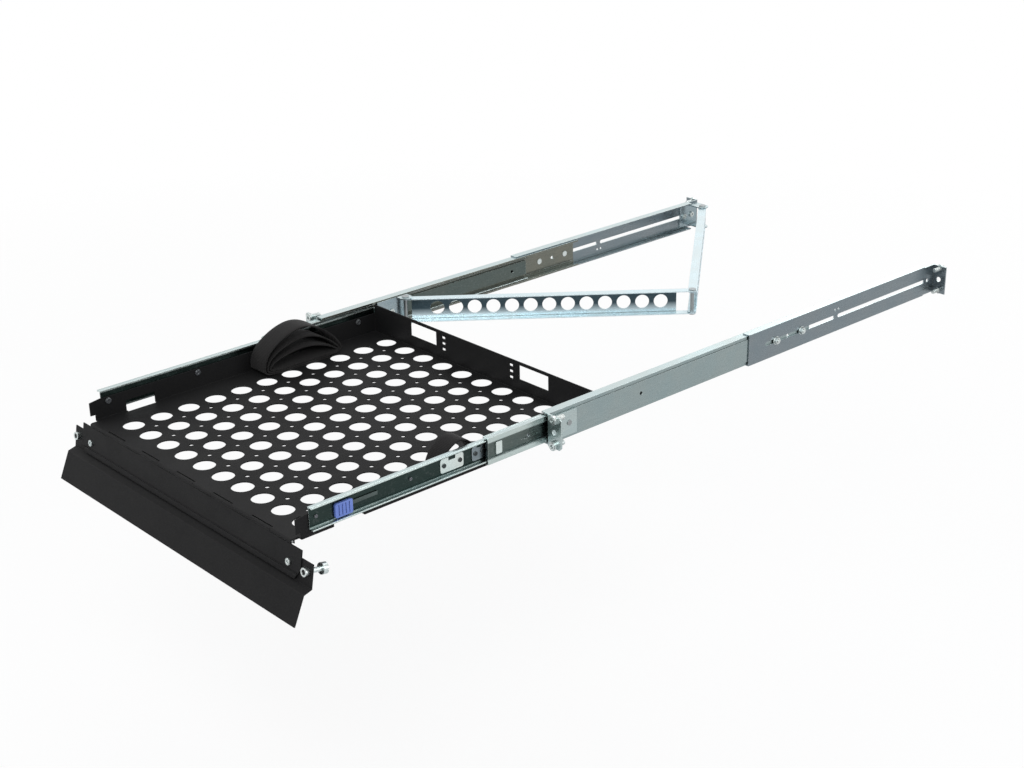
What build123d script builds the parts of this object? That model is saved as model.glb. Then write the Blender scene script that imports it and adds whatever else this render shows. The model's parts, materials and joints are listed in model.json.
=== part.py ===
from build123d import *
import os
from math import acos, cos, degrees, radians, sin

# Sliding rack shelf, millimetres. X is right seen from the front, +Y runs to the back of the rack, +Z up.
# The origin is the middle of the rack unit on the front mounting face. The shelf is drawn part way out.

# Rack interface
RACK_HOLE_SPAN = 465.1        # left to right between the two rows of rack holes
HOLE_STEP = 15.875            # from the middle hole of a unit to the hole above or below it
RACK_DEPTH = 742.0            # front mounting face to rear mounting face
MOUNT_HOLE = 7.1              # clearance hole for a rack screw
FRONT_THREAD = 6.0
REAR_THREAD = 5.0
THREAD_LENGTH = 12.0          # behind the mounting face
SCREW_NECK_PLAY = 0.2         # round the plain neck in its clearance hole
RACK_SCREW_HEAD = 11.0
RACK_SCREW_HEAD_HEIGHT = 3.8
PANEL_WIDTH = 482.6           # full width of the faceplate

# Screw heads, as shares of their height or radius, and cuts
DOME_HEIGHT = 0.2
DOME_RADIUS = 0.78
SOCKET_DEPTH = 0.35
SOCKET_RADIUS = 0.4
CUT = 1.0                     # how far a cut runs past the sheet

# Tray
TRAY_WIDTH = 418.4            # over the outer faces of the side walls
TRAY_FRONT = -344.2           # front edge of the side walls in the drawn pose
TRAY_LENGTH = 430.2
TRAY_SHEET = 1.5
FLOOR_Z = -20.0               # top of the floor
SIDE_WALL = 26.5              # height of a side wall over the underside of the floor
REAR_WALL = 39.0
HOLE_PITCH = 38.1
BIG_HOLE = 26.0
SMALL_HOLE = 5.6
HOLE_COLUMN_COUNT = 10
HOLE_ROW_COUNT = 11
HOLE_SHIFT = 8.5              # the hole field sits this far to the right of the middle
FIRST_ROW = 31.0              # first row of large holes behind the front edge
CABLE_WINDOW_WIDTH = 52.0
CABLE_WINDOW_HEIGHT = 19.0
CABLE_WINDOW_X = 105.0
CABLE_WINDOW_LOW = 14.5       # over the top of the floor
TIE_SLOT_WIDTH = 6.6
TIE_SLOT_HEIGHT = 3.6
TIE_SLOT_X = 64.5
TIE_SLOT_Z = 1.5              # the middle one of three
TIE_SLOT_PITCH = 8.0
FINGER_WINDOW_START = 48.0    # behind the front edge of the tray
FINGER_WINDOW_LENGTH = 40.0
FINGER_WINDOW_HEIGHT = 14.5
FINGER_WINDOW_INTO_FLOOR = 4.0
CORNER_NOTCH = 6.5            # at the foot of each side wall, in front
CORNER_SLOPE = 14.0
CORNER_DROP = 2.0
WALL_SCREW_FIRST = 24.8       # first wall screw behind the front edge
WALL_SCREW_PITCH = 125.2
WALL_SCREW_COUNT = 4
WALL_SCREW_RADIUS = 2.0
WALL_SCREW_PLAY = 0.05
WALL_SCREW_HEAD = 3.8
WALL_SCREW_HEAD_HEIGHT = 1.4
WALL_SCREW_LENGTH = 4.0

# Ball slides: outer, middle and inner member of each side
SLIDE_THICKNESS = 12.8        # from the tray wall to the outer face of the slide
OUTER_HALF = 19.5             # half the height of the outer member
OUTER_LENGTH = 468.0
OUTER_SHEET = 1.5
PANEL_JOG = 1.0               # the web stands this far out of its two edges
PANEL_HALF = 15.0
LIP_SHEET = 0.8
LIP_DEPTH = 2.2
MIDDLE_SHEET = 1.2
MIDDLE_LENGTH = 457.0
MIDDLE_FRONT = -90.0
MIDDLE_RECESS = 2.6           # the web lies this far inside the two edges of the flanges
RECESS_HALF = 10.5
STOP_START = 13.0             # stop block behind the front end of the middle member
STOP_LENGTH = 9.0
STOP_HALF = 7.5
STOP_HEIGHT = 1.6
STOP_CORNER = 1.5
TONGUE_START = 50.0           # pressed tongue behind the front end of the middle member
TONGUE_LENGTH = 10.0
TONGUE_LOW = -7.0
TONGUE_HIGH = -2.0
TONGUE_HEIGHT = 1.8
INNER_SHEET = 1.3
INNER_LENGTH = 457.0
INNER_FRONT = -328.0
CAGE_SHEET = 0.4
CAGE_GAP = 0.25
BALL_RADIUS = 1.2
BALL_PLAY = 0.07
POCKET_PLAY = 0.05
GROOVE_RISE = 0.43            # from the ball centres to the face beside the groove
GROOVE_WALL = 1.0
OUTER_BALL_IN = 2.8           # ball centres from the tray wall
INNER_BALL_IN = 6.0
OUTER_CAGE_FRONT = 60.0
OUTER_CAGE_LENGTH = 150.0
INNER_CAGE_FRONT = -50.0
INNER_CAGE_LENGTH = 130.0
BALLS_PER_ROW = 3
CAGE_LEG_RIM = 0.45
SLIDE_CLEAR = 0.5             # open edge of the outer and middle members from the tray wall
FLANGE_SHORT = 0.4            # the middle flange is this much shorter than the outer one
WEB_HOLE = 2.3
WEB_HOLES = (151.0, 350.0, 424.5)    # from the front end
MIDDLE_HOLES = (63.0, 230.0, 430.0)  # from the front end
FIXED_PLAY = 0.05

# Brackets that carry the slides in the rack
EAR_SHEET = 2.0
EAR_BRACKET_LENGTH = 42.0
EAR_OUT = 21.5                # from the slide to the outer edge of the ear
EAR_HALF = 20.0
EAR_CORNER = 3.0
FRONT_RIVET_FIRST = 12.0
FRONT_RIVET_PITCH = 18.0
RIVET_RADIUS = 2.0
RIVET_HEAD = 3.4
RIVET_HEAD_HEIGHT = 0.8
REAR_SHEET = 1.5
REAR_BRACKET_LAP = 122.0      # over the rear end of the outer member
REAR_FLANGE_DEPTH = 11.0
REAR_GAP = 0.1
REAR_FLANGE_SETBACK = 22.0    # the long flanges end this far in front of the rear face
NEAR_SLOT_IN = 32.0           # behind the front end of the bracket
NEAR_SLOT_LENGTH = 141.0
SLOT_BRIDGE = 7.0             # sheet left between the two slots
SLOT_HEIGHT = 5.2
BOLT_FROM_END = 18.0          # last bolt to the rear end of the outer member
BOLT_PITCH = 51.0
BOLT_RADIUS = 2.4
BOLT_HEAD = 4.2
BOLT_HEAD_HEIGHT = 0.9
BOLT_LENGTH = 8.5
NUT_ACROSS = 8.0
NUT_SIDES = 6
NUT_HEIGHT = 3.2
WASHER_RADIUS = 5.5
WASHER_SHEET = 0.8
END_HOLE_IN = 14.0            # in front of the rear mounting face
PAIR_HOLE_BEHIND = 1.5        # first small hole behind the near slot
PAIR_HOLE_Z = 10.0
PAIR_HOLE_PITCH = 7.0
PAIR_HOLE = 3.4

# Latches of the inner members
TAB_START = 31.5              # behind the front end of the inner member
TAB_LENGTH = 22.5
TAB_LOW = -10.5
TAB_HIGH = 6.0
TAB_DEPTH = 3.0
TAB_BLADE_LENGTH = 34.0
TAB_BLADE_HALF = 2.2
TAB_GAP = 0.3
TAB_CORNER = 2.0
TAB_RIB = 1.2
TAB_RIB_DEPTH = 0.8
TAB_RIB_COUNT = 4
TAB_RIM = 2.0
PLATE_SHEET = 1.2
PLATE_HALF = 8.5
PLATE_CORNER = 3.0
LONG_PLATE_START = 175.0
LONG_PLATE_LENGTH = 33.0
SHORT_PLATE_START = 220.5
SHORT_PLATE_LENGTH = 20.5
PLATE_RIVET = 1.5
PLATE_RIVET_INSET = 5.0
PLATE_RIVET_HEAD = 2.7
LONG_PLATE_NOTCH = 4.0
SHORT_PLATE_NOTCH = 2.5
NOTCH_SHARE = 0.3             # of the length of a plate

# Flap at the front of the tray
HINGE_RADIUS = 2.4
HINGE_PIN = 1.1
HINGE_PIN_PLAY = 0.05
PIN_OUT = 1.0                 # the wire stands this far out of the end knuckles
HINGE_AHEAD = 1.8             # axis in front of the edge of the side walls
HINGE_HALF = 203.5
KNUCKLE_COUNT = 11
KNUCKLE_GAP = 0.4
LEAF_GAP = 0.35
LEAF_SIDE_GAP = 5.15          # from the end of the leaf to the round guide of a captive screw
LEAF_LENGTH = 36.8
LEAF_SHEET = 1.2
LEAF_AHEAD = 0.9              # front face of the leaf ahead of the hinge axis
LEAF_CORNER_IN = 8.0
LEAF_CORNER_UP = 12.0
HEM_HEIGHT = 6.0
FLAP_TILT = 9.6               # the flap stops this far forward of straight down
BAND_LENGTH = 38.6
BAND_START = 11.9             # the wide faceplate begins this far below the hinge
STEP_LENGTH = 10.5
STEP_ANGLE = 64.0             # between the upper band and the step
LIP_ANGLE = 14.0              # between the upper band and the lower band
LIP_LENGTH = 35.3
FACE_SHEET = 1.5
FLAP_SCREW_DOWN = 22.4
INNER_SCREW_X = 202.0
FLAP_SCREW_SHANK = 2.0
FLAP_SCREW_HEAD = 3.8
FLAP_SCREW_HEIGHT = 2.0
FLAP_NUT_HEIGHT = 2.0
FLAP_SCREW_END = 0.5          # out of the nut
FERRULE_RADIUS = 4.9
FERRULE_OUT = 5.0             # in front of the faceplate
FERRULE_COLLAR = 6.2
FERRULE_COLLAR_SHEET = 1.0
CAPTIVE_RADIUS = 2.9
CAPTIVE_PLAY = 0.08
CAPTIVE_REACH = 14.0          # travel of a captive screw
CAPTIVE_HEAD = 6.5
CAPTIVE_HEAD_HEIGHT = 6.0
CAPTIVE_TIP_IN = 0.4          # the tip rests this far inside its guide
CAPTIVE_SLOT_WIDTH = 1.4
CAPTIVE_SLOT_DEPTH = 1.6

# Cable arm
ARM_LENGTH = 390.0            # between pivots
ARM_DEPTH = 12.0
ARM_SHEET = 1.2
ARM_HALF_HEIGHT = 15.0
ARM_HOLE = 19.0
ARM_HOLE_PITCH = 25.4
ARM_HOLE_FIRST = 42.4
ARM_HOLE_COUNT = 13
ARM_WEB_CUT = 21.0            # the web stops this far from the elbow
ARM_WEB_START = 8.0
ARM_PIVOT_X = -200.0
REAR_PIVOT_IN = 11.0          # in front of the rear mounting face
SHELF_PIVOT_BEHIND = 3.0      # behind the rear end of the inner member
ARM_BRACKET_SHEET = 1.5
ARM_TAB_HALF = 9.0
ARM_GAP = 0.3
PIVOT_RADIUS = 2.5
PIVOT_PLAY = 0.05
PIVOT_HEAD = 5.0
PIVOT_HEAD_HEIGHT = 1.5
OPEN_PIVOT_GAP = 0.08
REAR_PLATE_LENGTH = 38.0
ARM_SCREW_PITCH = 17.0
ARM_SCREW_LENGTH = 8.0
ARM_SCREW_HEAD_HEIGHT = 2.0
SHELF_PLATE_LENGTH = 51.0
SHELF_SCREW_IN = 9.0          # first screw behind the front edge of the plate
SHELF_SCREW_PITCH = 15.0

# Hold-down straps
STRAP_WIDTH = 25.0
STRAP_THICK = 1.8
STRAP_WALL_GAP = 2.5
STRAP_LIFT = 0.2
LEFT_LOOP_FRONT = -118.0
LEFT_LOOP_LENGTH = 124.0
LEFT_LOOP_TOP = 35.0
RIGHT_LOOP_FRONT = -150.0
RIGHT_LOOP_LENGTH = 64.0
RIGHT_LOOP_TOP = 21.0
TAIL_LENGTH = 78.0
LOOP_SHAPE = ((0, 0), (0.02, 0.42), (0.2, 0.78), (0.5, 1), (0.78, 0.72), (0.96, 0.3), (1, 0))

# Places worked out from the values above
HOLE_X = RACK_HOLE_SPAN / 2
WALL_X = TRAY_WIDTH / 2
UNDER_Z = FLOOR_Z - TRAY_SHEET
WALL_TOP = UNDER_Z + SIDE_WALL
TRAY_REAR = TRAY_FRONT + TRAY_LENGTH
RACE = BALL_RADIUS + BALL_PLAY
OUTER_X = WALL_X + SLIDE_THICKNESS
OUTER_IN_X = OUTER_X - PANEL_JOG - OUTER_SHEET
MIDDLE_X = OUTER_IN_X - CAGE_SHEET - 2 * CAGE_GAP
MIDDLE_IN_X = MIDDLE_X - MIDDLE_SHEET
RECESS_X = MIDDLE_X - MIDDLE_RECESS
INNER_TIP_X = MIDDLE_IN_X - CAGE_SHEET - 2 * CAGE_GAP
OUTER_BALL_X = WALL_X + OUTER_BALL_IN
INNER_BALL_X = WALL_X + INNER_BALL_IN
OUTER_BALL_Z = OUTER_HALF - OUTER_SHEET - RACE
MIDDLE_HALF = OUTER_BALL_Z - GROOVE_RISE
INNER_BALL_Z = MIDDLE_HALF - MIDDLE_SHEET - RACE
INNER_HALF = INNER_BALL_Z - GROOVE_RISE
HINGE_Y = TRAY_FRONT - HINGE_AHEAD
HINGE_Z = FLOOR_Z - HINGE_RADIUS
KNUCKLE = 2 * HINGE_HALF / KNUCKLE_COUNT
FACE_AHEAD = LEAF_AHEAD - LEAF_SHEET
LEAF_WIDTH = 2 * (HOLE_X - FERRULE_RADIUS - LEAF_SIDE_GAP)
THROUGH_FLAP = (-HINGE_RADIUS - CUT, HINGE_RADIUS + CUT)
REAR_PIVOT_Y = RACK_DEPTH - REAR_PIVOT_IN
SHELF_PIVOT_Y = INNER_FRONT + INNER_LENGTH + SHELF_PIVOT_BEHIND
REAR_PLATE = (REAR_PIVOT_Y + ARM_TAB_HALF - REAR_PLATE_LENGTH, REAR_PIVOT_Y + ARM_TAB_HALF)
SHELF_PLATE = (SHELF_PIVOT_Y + ARM_TAB_HALF - SHELF_PLATE_LENGTH, SHELF_PIVOT_Y + ARM_TAB_HALF)
END_HOLE_Y = RACK_DEPTH - END_HOLE_IN
ARM_SCREWS = (END_HOLE_Y - ARM_SCREW_PITCH, END_HOLE_Y)
SHELF_SCREWS = (SHELF_PLATE[0] + SHELF_SCREW_IN, SHELF_PLATE[0] + SHELF_SCREW_IN + SHELF_SCREW_PITCH)
ARM_ANGLE = degrees(acos((REAR_PIVOT_Y - SHELF_PIVOT_Y) / 2 / ARM_LENGTH))
ELBOW_X = ARM_PIVOT_X + ARM_LENGTH * sin(radians(ARM_ANGLE))
ELBOW_Y = (REAR_PIVOT_Y + SHELF_PIVOT_Y) / 2
FRONT_ARM_HALF = ARM_HALF_HEIGHT + ARM_GAP + ARM_SHEET
BOLT_PLACES = (OUTER_LENGTH - BOLT_FROM_END - BOLT_PITCH, OUTER_LENGTH - BOLT_FROM_END)
BRACKET_FRONT = OUTER_LENGTH - REAR_BRACKET_LAP
NEAR_SLOT = (BRACKET_FRONT + NEAR_SLOT_IN, BRACKET_FRONT + NEAR_SLOT_IN + NEAR_SLOT_LENGTH)
FLANGE_END = RACK_DEPTH - REAR_FLANGE_SETBACK
FAR_SLOT = (NEAR_SLOT[1] + SLOT_BRIDGE, FLANGE_END)
PAIR_HOLE_Y = NEAR_SLOT[1] + PAIR_HOLE_BEHIND
FRONT_RIVETS = (FRONT_RIVET_FIRST, FRONT_RIVET_FIRST + FRONT_RIVET_PITCH)
WALL_SCREWS = [TRAY_FRONT + WALL_SCREW_FIRST + i * WALL_SCREW_PITCH for i in range(WALL_SCREW_COUNT)]


# Small helpers
def block(x, y, z):
    """A box from (low, high) pairs."""
    size = (x[1] - x[0], y[1] - y[0], z[1] - z[0])
    middle = ((x[0] + x[1]) / 2, (y[0] + y[1]) / 2, (z[0] + z[1]) / 2)
    return Pos(*middle) * Box(*size)


def rod(axis, at, span, radius):
    """A cylinder along axis 'X', 'Y' or 'Z'; at holds the two other coordinates in order."""
    low, high = sorted(span)
    middle = (low + high) / 2
    if axis == "X":
        return Pos(middle, at[0], at[1]) * Rot(0, 90, 0) * Cylinder(radius, high - low)
    if axis == "Y":
        return Pos(at[0], middle, at[1]) * Rot(90, 0, 0) * Cylinder(radius, high - low)
    return Pos(at[0], at[1], middle) * Cylinder(radius, high - low)


def along_y(sketch, y):
    """Extrude a sketch drawn in X and Z from y[0] to y[1]."""
    face = Pos(0, y[0], 0) * Rot(90, 0, 0) * sketch
    return extrude(face, amount=-(y[1] - y[0]))


def along_x(sketch, x):
    """Extrude a sketch drawn in Y and Z from x[0] to x[1]."""
    face = Plane.YZ * sketch
    return extrude(Pos(x[0], 0, 0) * face, amount=x[1] - x[0])


def rect(a, b):
    """A rectangle in sketch coordinates from (low, high) pairs."""
    return Pos((a[0] + a[1]) / 2, (b[0] + b[1]) / 2) * Rectangle(a[1] - a[0], b[1] - b[0])


def disc(a, b, radius):
    """A circle in sketch coordinates."""
    return Pos(a, b) * Circle(radius)


def both(shape):
    """A sketch or solid and its copy turned top to bottom."""
    flat = isinstance(shape, Sketch)
    return shape + mirror(shape, about=Plane.XZ if flat else Plane.XY)


def to_left(shape):
    """The same piece for the left side."""
    return mirror(shape, about=Plane.YZ)


def slot_cut(x, y, z, height):
    """A slot through a web, along Y with round ends."""
    end = height / 2
    middle = block(x, (y[0] + end, y[1] - end), (z - end, z + end))
    return middle + rod("X", (y[0] + end, z), x, end) + rod("X", (y[1] - end, z), x, end)


def screw(axis, at, seat, tip, shank, head, height):
    """A pan head screw from its seat to its tip, with a round socket in the head."""
    way = 1 if tip > seat else -1
    top = seat - way * height
    body = rod(axis, at, (seat, tip), shank)
    dome = rod(axis, at, (seat, top - way * height * DOME_HEIGHT), head * DOME_RADIUS)
    socket = rod(axis, at, (top - way * height, top + way * height * SOCKET_DEPTH), head * SOCKET_RADIUS)
    return body + rod(axis, at, (seat, top), head) + dome - socket


# Tray
def hinge_spans(first):
    """Spans along X of every second knuckle, starting with knuckle first."""
    spans = []
    for i in range(first, KNUCKLE_COUNT, 2):
        low = -HINGE_HALF + i * KNUCKLE
        spans.append((low + KNUCKLE_GAP / 2, low + KNUCKLE - KNUCKLE_GAP / 2))
    return spans


def tray():
    """Folded and punched tray with its share of the hinge knuckles."""
    sheet = TRAY_SHEET
    floor = rect((-WALL_X, WALL_X), (TRAY_FRONT + CORNER_NOTCH, TRAY_REAR))
    floor += rect((-HINGE_HALF, HINGE_HALF), (HINGE_Y, TRAY_FRONT + CORNER_NOTCH))
    edge = HINGE_Y + HINGE_RADIUS + LEAF_GAP
    for low, high in hinge_spans(1):
        floor -= rect((low - KNUCKLE_GAP, high + KNUCKLE_GAP), (HINGE_Y - CUT, edge))
    for i in range(HOLE_COLUMN_COUNT):
        x = HOLE_SHIFT + HOLE_PITCH * (i - (HOLE_COLUMN_COUNT - 1) / 2)
        for j in range(HOLE_ROW_COUNT):
            y = TRAY_FRONT + FIRST_ROW + HOLE_PITCH * j
            floor -= disc(x, y, BIG_HOLE / 2)
            if i < HOLE_COLUMN_COUNT - 1 and j < HOLE_ROW_COUNT - 1:
                floor -= disc(x + HOLE_PITCH / 2, y + HOLE_PITCH / 2, SMALL_HOLE / 2)
    window_y = (TRAY_FRONT + FINGER_WINDOW_START, TRAY_FRONT + FINGER_WINDOW_START + FINGER_WINDOW_LENGTH)
    into = WALL_X - sheet - FINGER_WINDOW_INTO_FLOOR
    floor -= rect((into, WALL_X + CUT), window_y)
    floor -= rect((-WALL_X - CUT, -into), window_y)
    body = extrude(Pos(0, 0, UNDER_Z) * floor, amount=sheet)

    side = Polyline(
        (TRAY_FRONT, UNDER_Z + CORNER_NOTCH + sheet),
        (TRAY_FRONT + CORNER_NOTCH, UNDER_Z + CORNER_NOTCH + sheet),
        (TRAY_FRONT + CORNER_NOTCH, UNDER_Z),
        (TRAY_REAR, UNDER_Z),
        (TRAY_REAR, WALL_TOP),
        (TRAY_FRONT + CORNER_SLOPE, WALL_TOP),
        (TRAY_FRONT, WALL_TOP - CORNER_DROP),
        close=True,
    )
    wall = make_face(side) - rect(window_y, (UNDER_Z - CUT, UNDER_Z + FINGER_WINDOW_HEIGHT))
    for y in WALL_SCREWS:
        wall -= disc(y, 0, WALL_SCREW_RADIUS + WALL_SCREW_PLAY)
    right = along_x(wall, (WALL_X - sheet, WALL_X))
    body += right + to_left(right)

    inside = WALL_X - sheet
    rear = rect((-inside, inside), (UNDER_Z, UNDER_Z + REAR_WALL))
    window_z = (FLOOR_Z + CABLE_WINDOW_LOW, FLOOR_Z + CABLE_WINDOW_LOW + CABLE_WINDOW_HEIGHT)
    for way in (-1, 1):
        middle = way * CABLE_WINDOW_X
        rear -= rect((middle - CABLE_WINDOW_WIDTH / 2, middle + CABLE_WINDOW_WIDTH / 2), window_z)
        for k in (-1, 0, 1):
            z = TIE_SLOT_Z + k * TIE_SLOT_PITCH
            x = way * TIE_SLOT_X
            rear -= Pos(x, z) * Rectangle(TIE_SLOT_WIDTH, TIE_SLOT_HEIGHT)
    body += along_y(rear, (TRAY_REAR - sheet, TRAY_REAR))

    for span in hinge_spans(0):
        body += rod("X", (HINGE_Y, HINGE_Z), span, HINGE_RADIUS)
    body -= rod("X", (HINGE_Y, HINGE_Z), (-WALL_X, WALL_X), HINGE_PIN + HINGE_PIN_PLAY)
    return body


def hinge_pin():
    """The wire that runs through all the knuckles."""
    return rod("X", (HINGE_Y, HINGE_Z), (-HINGE_HALF - PIN_OUT, HINGE_HALF + PIN_OUT), HINGE_PIN)


# Slides, drawn for the right side
def groove(sketch, x, z, left):
    """Press a ball groove into a flange; left is how far the flange reaches."""
    bump = disc(x, z, RACE + GROOVE_WALL) & rect((left, x + RACE + GROOVE_WALL), (0, z - GROOVE_RISE))
    return sketch + bump - disc(x, z, RACE)


def outer_member():
    """Rolled channel with a raised web and lips that keep the balls in."""
    low = WALL_X + SLIDE_CLEAR
    web = rect((OUTER_X - OUTER_SHEET, OUTER_X), (0, PANEL_HALF))
    web += rect((OUTER_IN_X, OUTER_X), (PANEL_HALF - OUTER_SHEET, PANEL_HALF))
    web += rect((OUTER_IN_X, OUTER_X - PANEL_JOG), (PANEL_HALF - OUTER_SHEET, OUTER_HALF))
    web += rect((low, OUTER_X - PANEL_JOG), (OUTER_HALF - OUTER_SHEET, OUTER_HALF))
    web += rect((low, low + LIP_SHEET), (OUTER_HALF - LIP_DEPTH, OUTER_HALF))
    body = along_y(both(web), (0, OUTER_LENGTH))
    through = (OUTER_IN_X - CUT, OUTER_X + CUT)
    for y in BOLT_PLACES:
        body -= rod("X", (y, 0), through, BOLT_RADIUS + FIXED_PLAY)
    for y in FRONT_RIVETS:
        body -= rod("X", (y, 0), through, RIVET_RADIUS)
    for y in WEB_HOLES:
        body -= rod("X", (y, 0), through, WEB_HOLE)
    return body


def middle_member():
    """Middle channel: recessed web, grooves for the balls inside and outside, end lip and tongue."""
    low = WALL_X + SLIDE_CLEAR
    back_x = RECESS_X - MIDDLE_SHEET
    half = rect((back_x, RECESS_X), (0, RECESS_HALF))
    half += rect((back_x, MIDDLE_X), (RECESS_HALF - MIDDLE_SHEET, RECESS_HALF))
    half += rect((MIDDLE_IN_X, MIDDLE_X), (RECESS_HALF - MIDDLE_SHEET, MIDDLE_HALF))
    half += rect((low + FLANGE_SHORT, MIDDLE_X), (MIDDLE_HALF - MIDDLE_SHEET, MIDDLE_HALF))
    half = groove(half, OUTER_BALL_X, OUTER_BALL_Z, low + FLANGE_SHORT)
    body = along_y(both(half), (MIDDLE_FRONT, MIDDLE_FRONT + MIDDLE_LENGTH))
    for step in MIDDLE_HOLES:
        body -= rod("X", (MIDDLE_FRONT + step, 0), (back_x - CUT, MIDDLE_X + CUT), WEB_HOLE)
    lip_y = (MIDDLE_FRONT, MIDDLE_FRONT + MIDDLE_SHEET)
    body += block((back_x, MIDDLE_X), lip_y, (-RECESS_HALF, RECESS_HALF))
    start = MIDDLE_FRONT + TONGUE_START
    end = start + TONGUE_LENGTH
    side = make_face(Polyline((RECESS_X, start), (RECESS_X, end), (RECESS_X + TONGUE_HEIGHT, end), close=True))
    return body + extrude(Pos(0, 0, TONGUE_LOW) * side, amount=TONGUE_HIGH - TONGUE_LOW)


def stop_block():
    """Stop on the outside of the middle member's web, near its front end."""
    low = MIDDLE_FRONT + STOP_START
    body = block((RECESS_X, RECESS_X + STOP_HEIGHT), (low, low + STOP_LENGTH), (-STOP_HALF, STOP_HALF))
    return fillet(body.edges().filter_by(Axis.X), STOP_CORNER)


def inner_member():
    """Inner channel, back against the wall of the tray."""
    half = rect((WALL_X, WALL_X + INNER_SHEET), (0, INNER_HALF))
    half += rect((WALL_X, INNER_TIP_X), (INNER_HALF - INNER_SHEET, INNER_HALF))
    half = groove(half, INNER_BALL_X, INNER_BALL_Z, WALL_X)
    half &= rect((WALL_X, INNER_TIP_X), (0, INNER_HALF))
    body = along_y(both(half), (INNER_FRONT, INNER_FRONT + INNER_LENGTH))
    through = (WALL_X - CUT, WALL_X + INNER_SHEET + CUT)
    for y in (*WALL_SCREWS, *SHELF_SCREWS):
        body -= rod("X", (y, 0), through, WALL_SCREW_RADIUS + WALL_SCREW_PLAY)
    for y in plate_rivets():
        body -= rod("X", (y, 0), through, PLATE_RIVET)
    return body


def ball_places(front, length):
    """Places of the balls of one row."""
    step = length / BALLS_PER_ROW
    return [front + step * (i + 0.5) for i in range(BALLS_PER_ROW)]


def cage(web_x, ball_x, ball_z, front, length, recess):
    """Thin channel with a pocket for each ball; recess is how far its web steps in behind the middle member."""
    leg = CAGE_SHEET / 2
    low = ball_x - BALL_RADIUS - CAGE_LEG_RIM
    bend = RECESS_HALF + CAGE_GAP
    half = rect((web_x - recess, web_x - recess + CAGE_SHEET), (0, bend + CAGE_SHEET))
    half += rect((web_x - recess, web_x + CAGE_SHEET), (bend, bend + CAGE_SHEET))
    half += rect((web_x, web_x + CAGE_SHEET), (bend, ball_z + leg))
    half += rect((low, web_x + CAGE_SHEET), (ball_z - leg, ball_z + leg))
    body = along_y(both(half), (front, front + length))
    for y in ball_places(front, length):
        for z in (-ball_z, ball_z):
            body -= rod("Z", (ball_x, y), (z - CUT, z + CUT), BALL_RADIUS + POCKET_PLAY)
    return body


def balls(ball_x, ball_z, front, length):
    """The two rows of balls of one cage."""
    found = []
    for y in ball_places(front, length):
        for z in (-ball_z, ball_z):
            found.append(Pos(ball_x, y, z) * Sphere(BALL_RADIUS))
    return found


def outer_cage():
    """Cage between the outer and the middle member."""
    web_x = MIDDLE_X + CAGE_GAP
    return cage(web_x, OUTER_BALL_X, OUTER_BALL_Z, OUTER_CAGE_FRONT, OUTER_CAGE_LENGTH, 0)


def inner_cage():
    """Cage between the middle and the inner member."""
    web_x = INNER_TIP_X + CAGE_GAP
    return cage(web_x, INNER_BALL_X, INNER_BALL_Z, INNER_CAGE_FRONT, INNER_CAGE_LENGTH, MIDDLE_RECESS)


# Latch parts in the channel of the right inner member
def plate_rivets():
    """Places along Y of the rivets of both latch plates."""
    found = []
    for start, length in ((LONG_PLATE_START, LONG_PLATE_LENGTH), (SHORT_PLATE_START, SHORT_PLATE_LENGTH)):
        low = INNER_FRONT + start
        found += [low + PLATE_RIVET_INSET, low + length - PLATE_RIVET_INSET]
    return found


def latch_plate(start, length, notch):
    """Stop plate riveted into the channel; notch is the depth of its hook."""
    x = (WALL_X + INNER_SHEET, WALL_X + INNER_SHEET + PLATE_SHEET)
    low = INNER_FRONT + start
    body = block(x, (low, low + length), (-PLATE_HALF, PLATE_HALF))
    body = fillet(body.edges().filter_by(Axis.X), PLATE_CORNER)
    side = length * (1 - NOTCH_SHARE) / 2
    body -= block(x, (low + side, low + length - side), (PLATE_HALF - notch, PLATE_HALF + CUT))
    for y in (low + PLATE_RIVET_INSET, low + length - PLATE_RIVET_INSET):
        body -= rod("X", (y, 0), (x[0] - CUT, x[1] + CUT), PLATE_RIVET)
    return body


def latch_rivets():
    """Flat rivets of both latch plates."""
    face = WALL_X + INNER_SHEET + PLATE_SHEET
    found = []
    for y in plate_rivets():
        body = rod("X", (y, 0), (WALL_X, face), PLATE_RIVET)
        found.append(body + rod("X", (y, 0), (face, face + RIVET_HEAD_HEIGHT), PLATE_RIVET_HEAD))
    return found


def release_tab():
    """Finger tab that frees the slide, with the blade that reaches back to the latch."""
    x = (WALL_X + INNER_SHEET + TAB_GAP, WALL_X + INNER_SHEET + TAB_GAP + TAB_DEPTH)
    low = INNER_FRONT + TAB_START
    body = block(x, (low, low + TAB_LENGTH), (TAB_LOW, TAB_HIGH))
    body = fillet(body.edges().filter_by(Axis.X), TAB_CORNER)
    for k in range(TAB_RIB_COUNT):
        y = low + TAB_LENGTH * (k + 1) / (TAB_RIB_COUNT + 1)
        rib_x = (x[1] - TAB_RIB_DEPTH, x[1] + CUT)
        body -= block(rib_x, (y - TAB_RIB / 2, y + TAB_RIB / 2), (TAB_LOW + TAB_RIM, TAB_HIGH - TAB_RIM))
    blade_y = (low + TAB_LENGTH / 2, low + TAB_LENGTH + TAB_BLADE_LENGTH)
    body += block((x[0], x[0] + PLATE_SHEET), blade_y, (-TAB_BLADE_HALF, TAB_BLADE_HALF))
    return body


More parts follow.
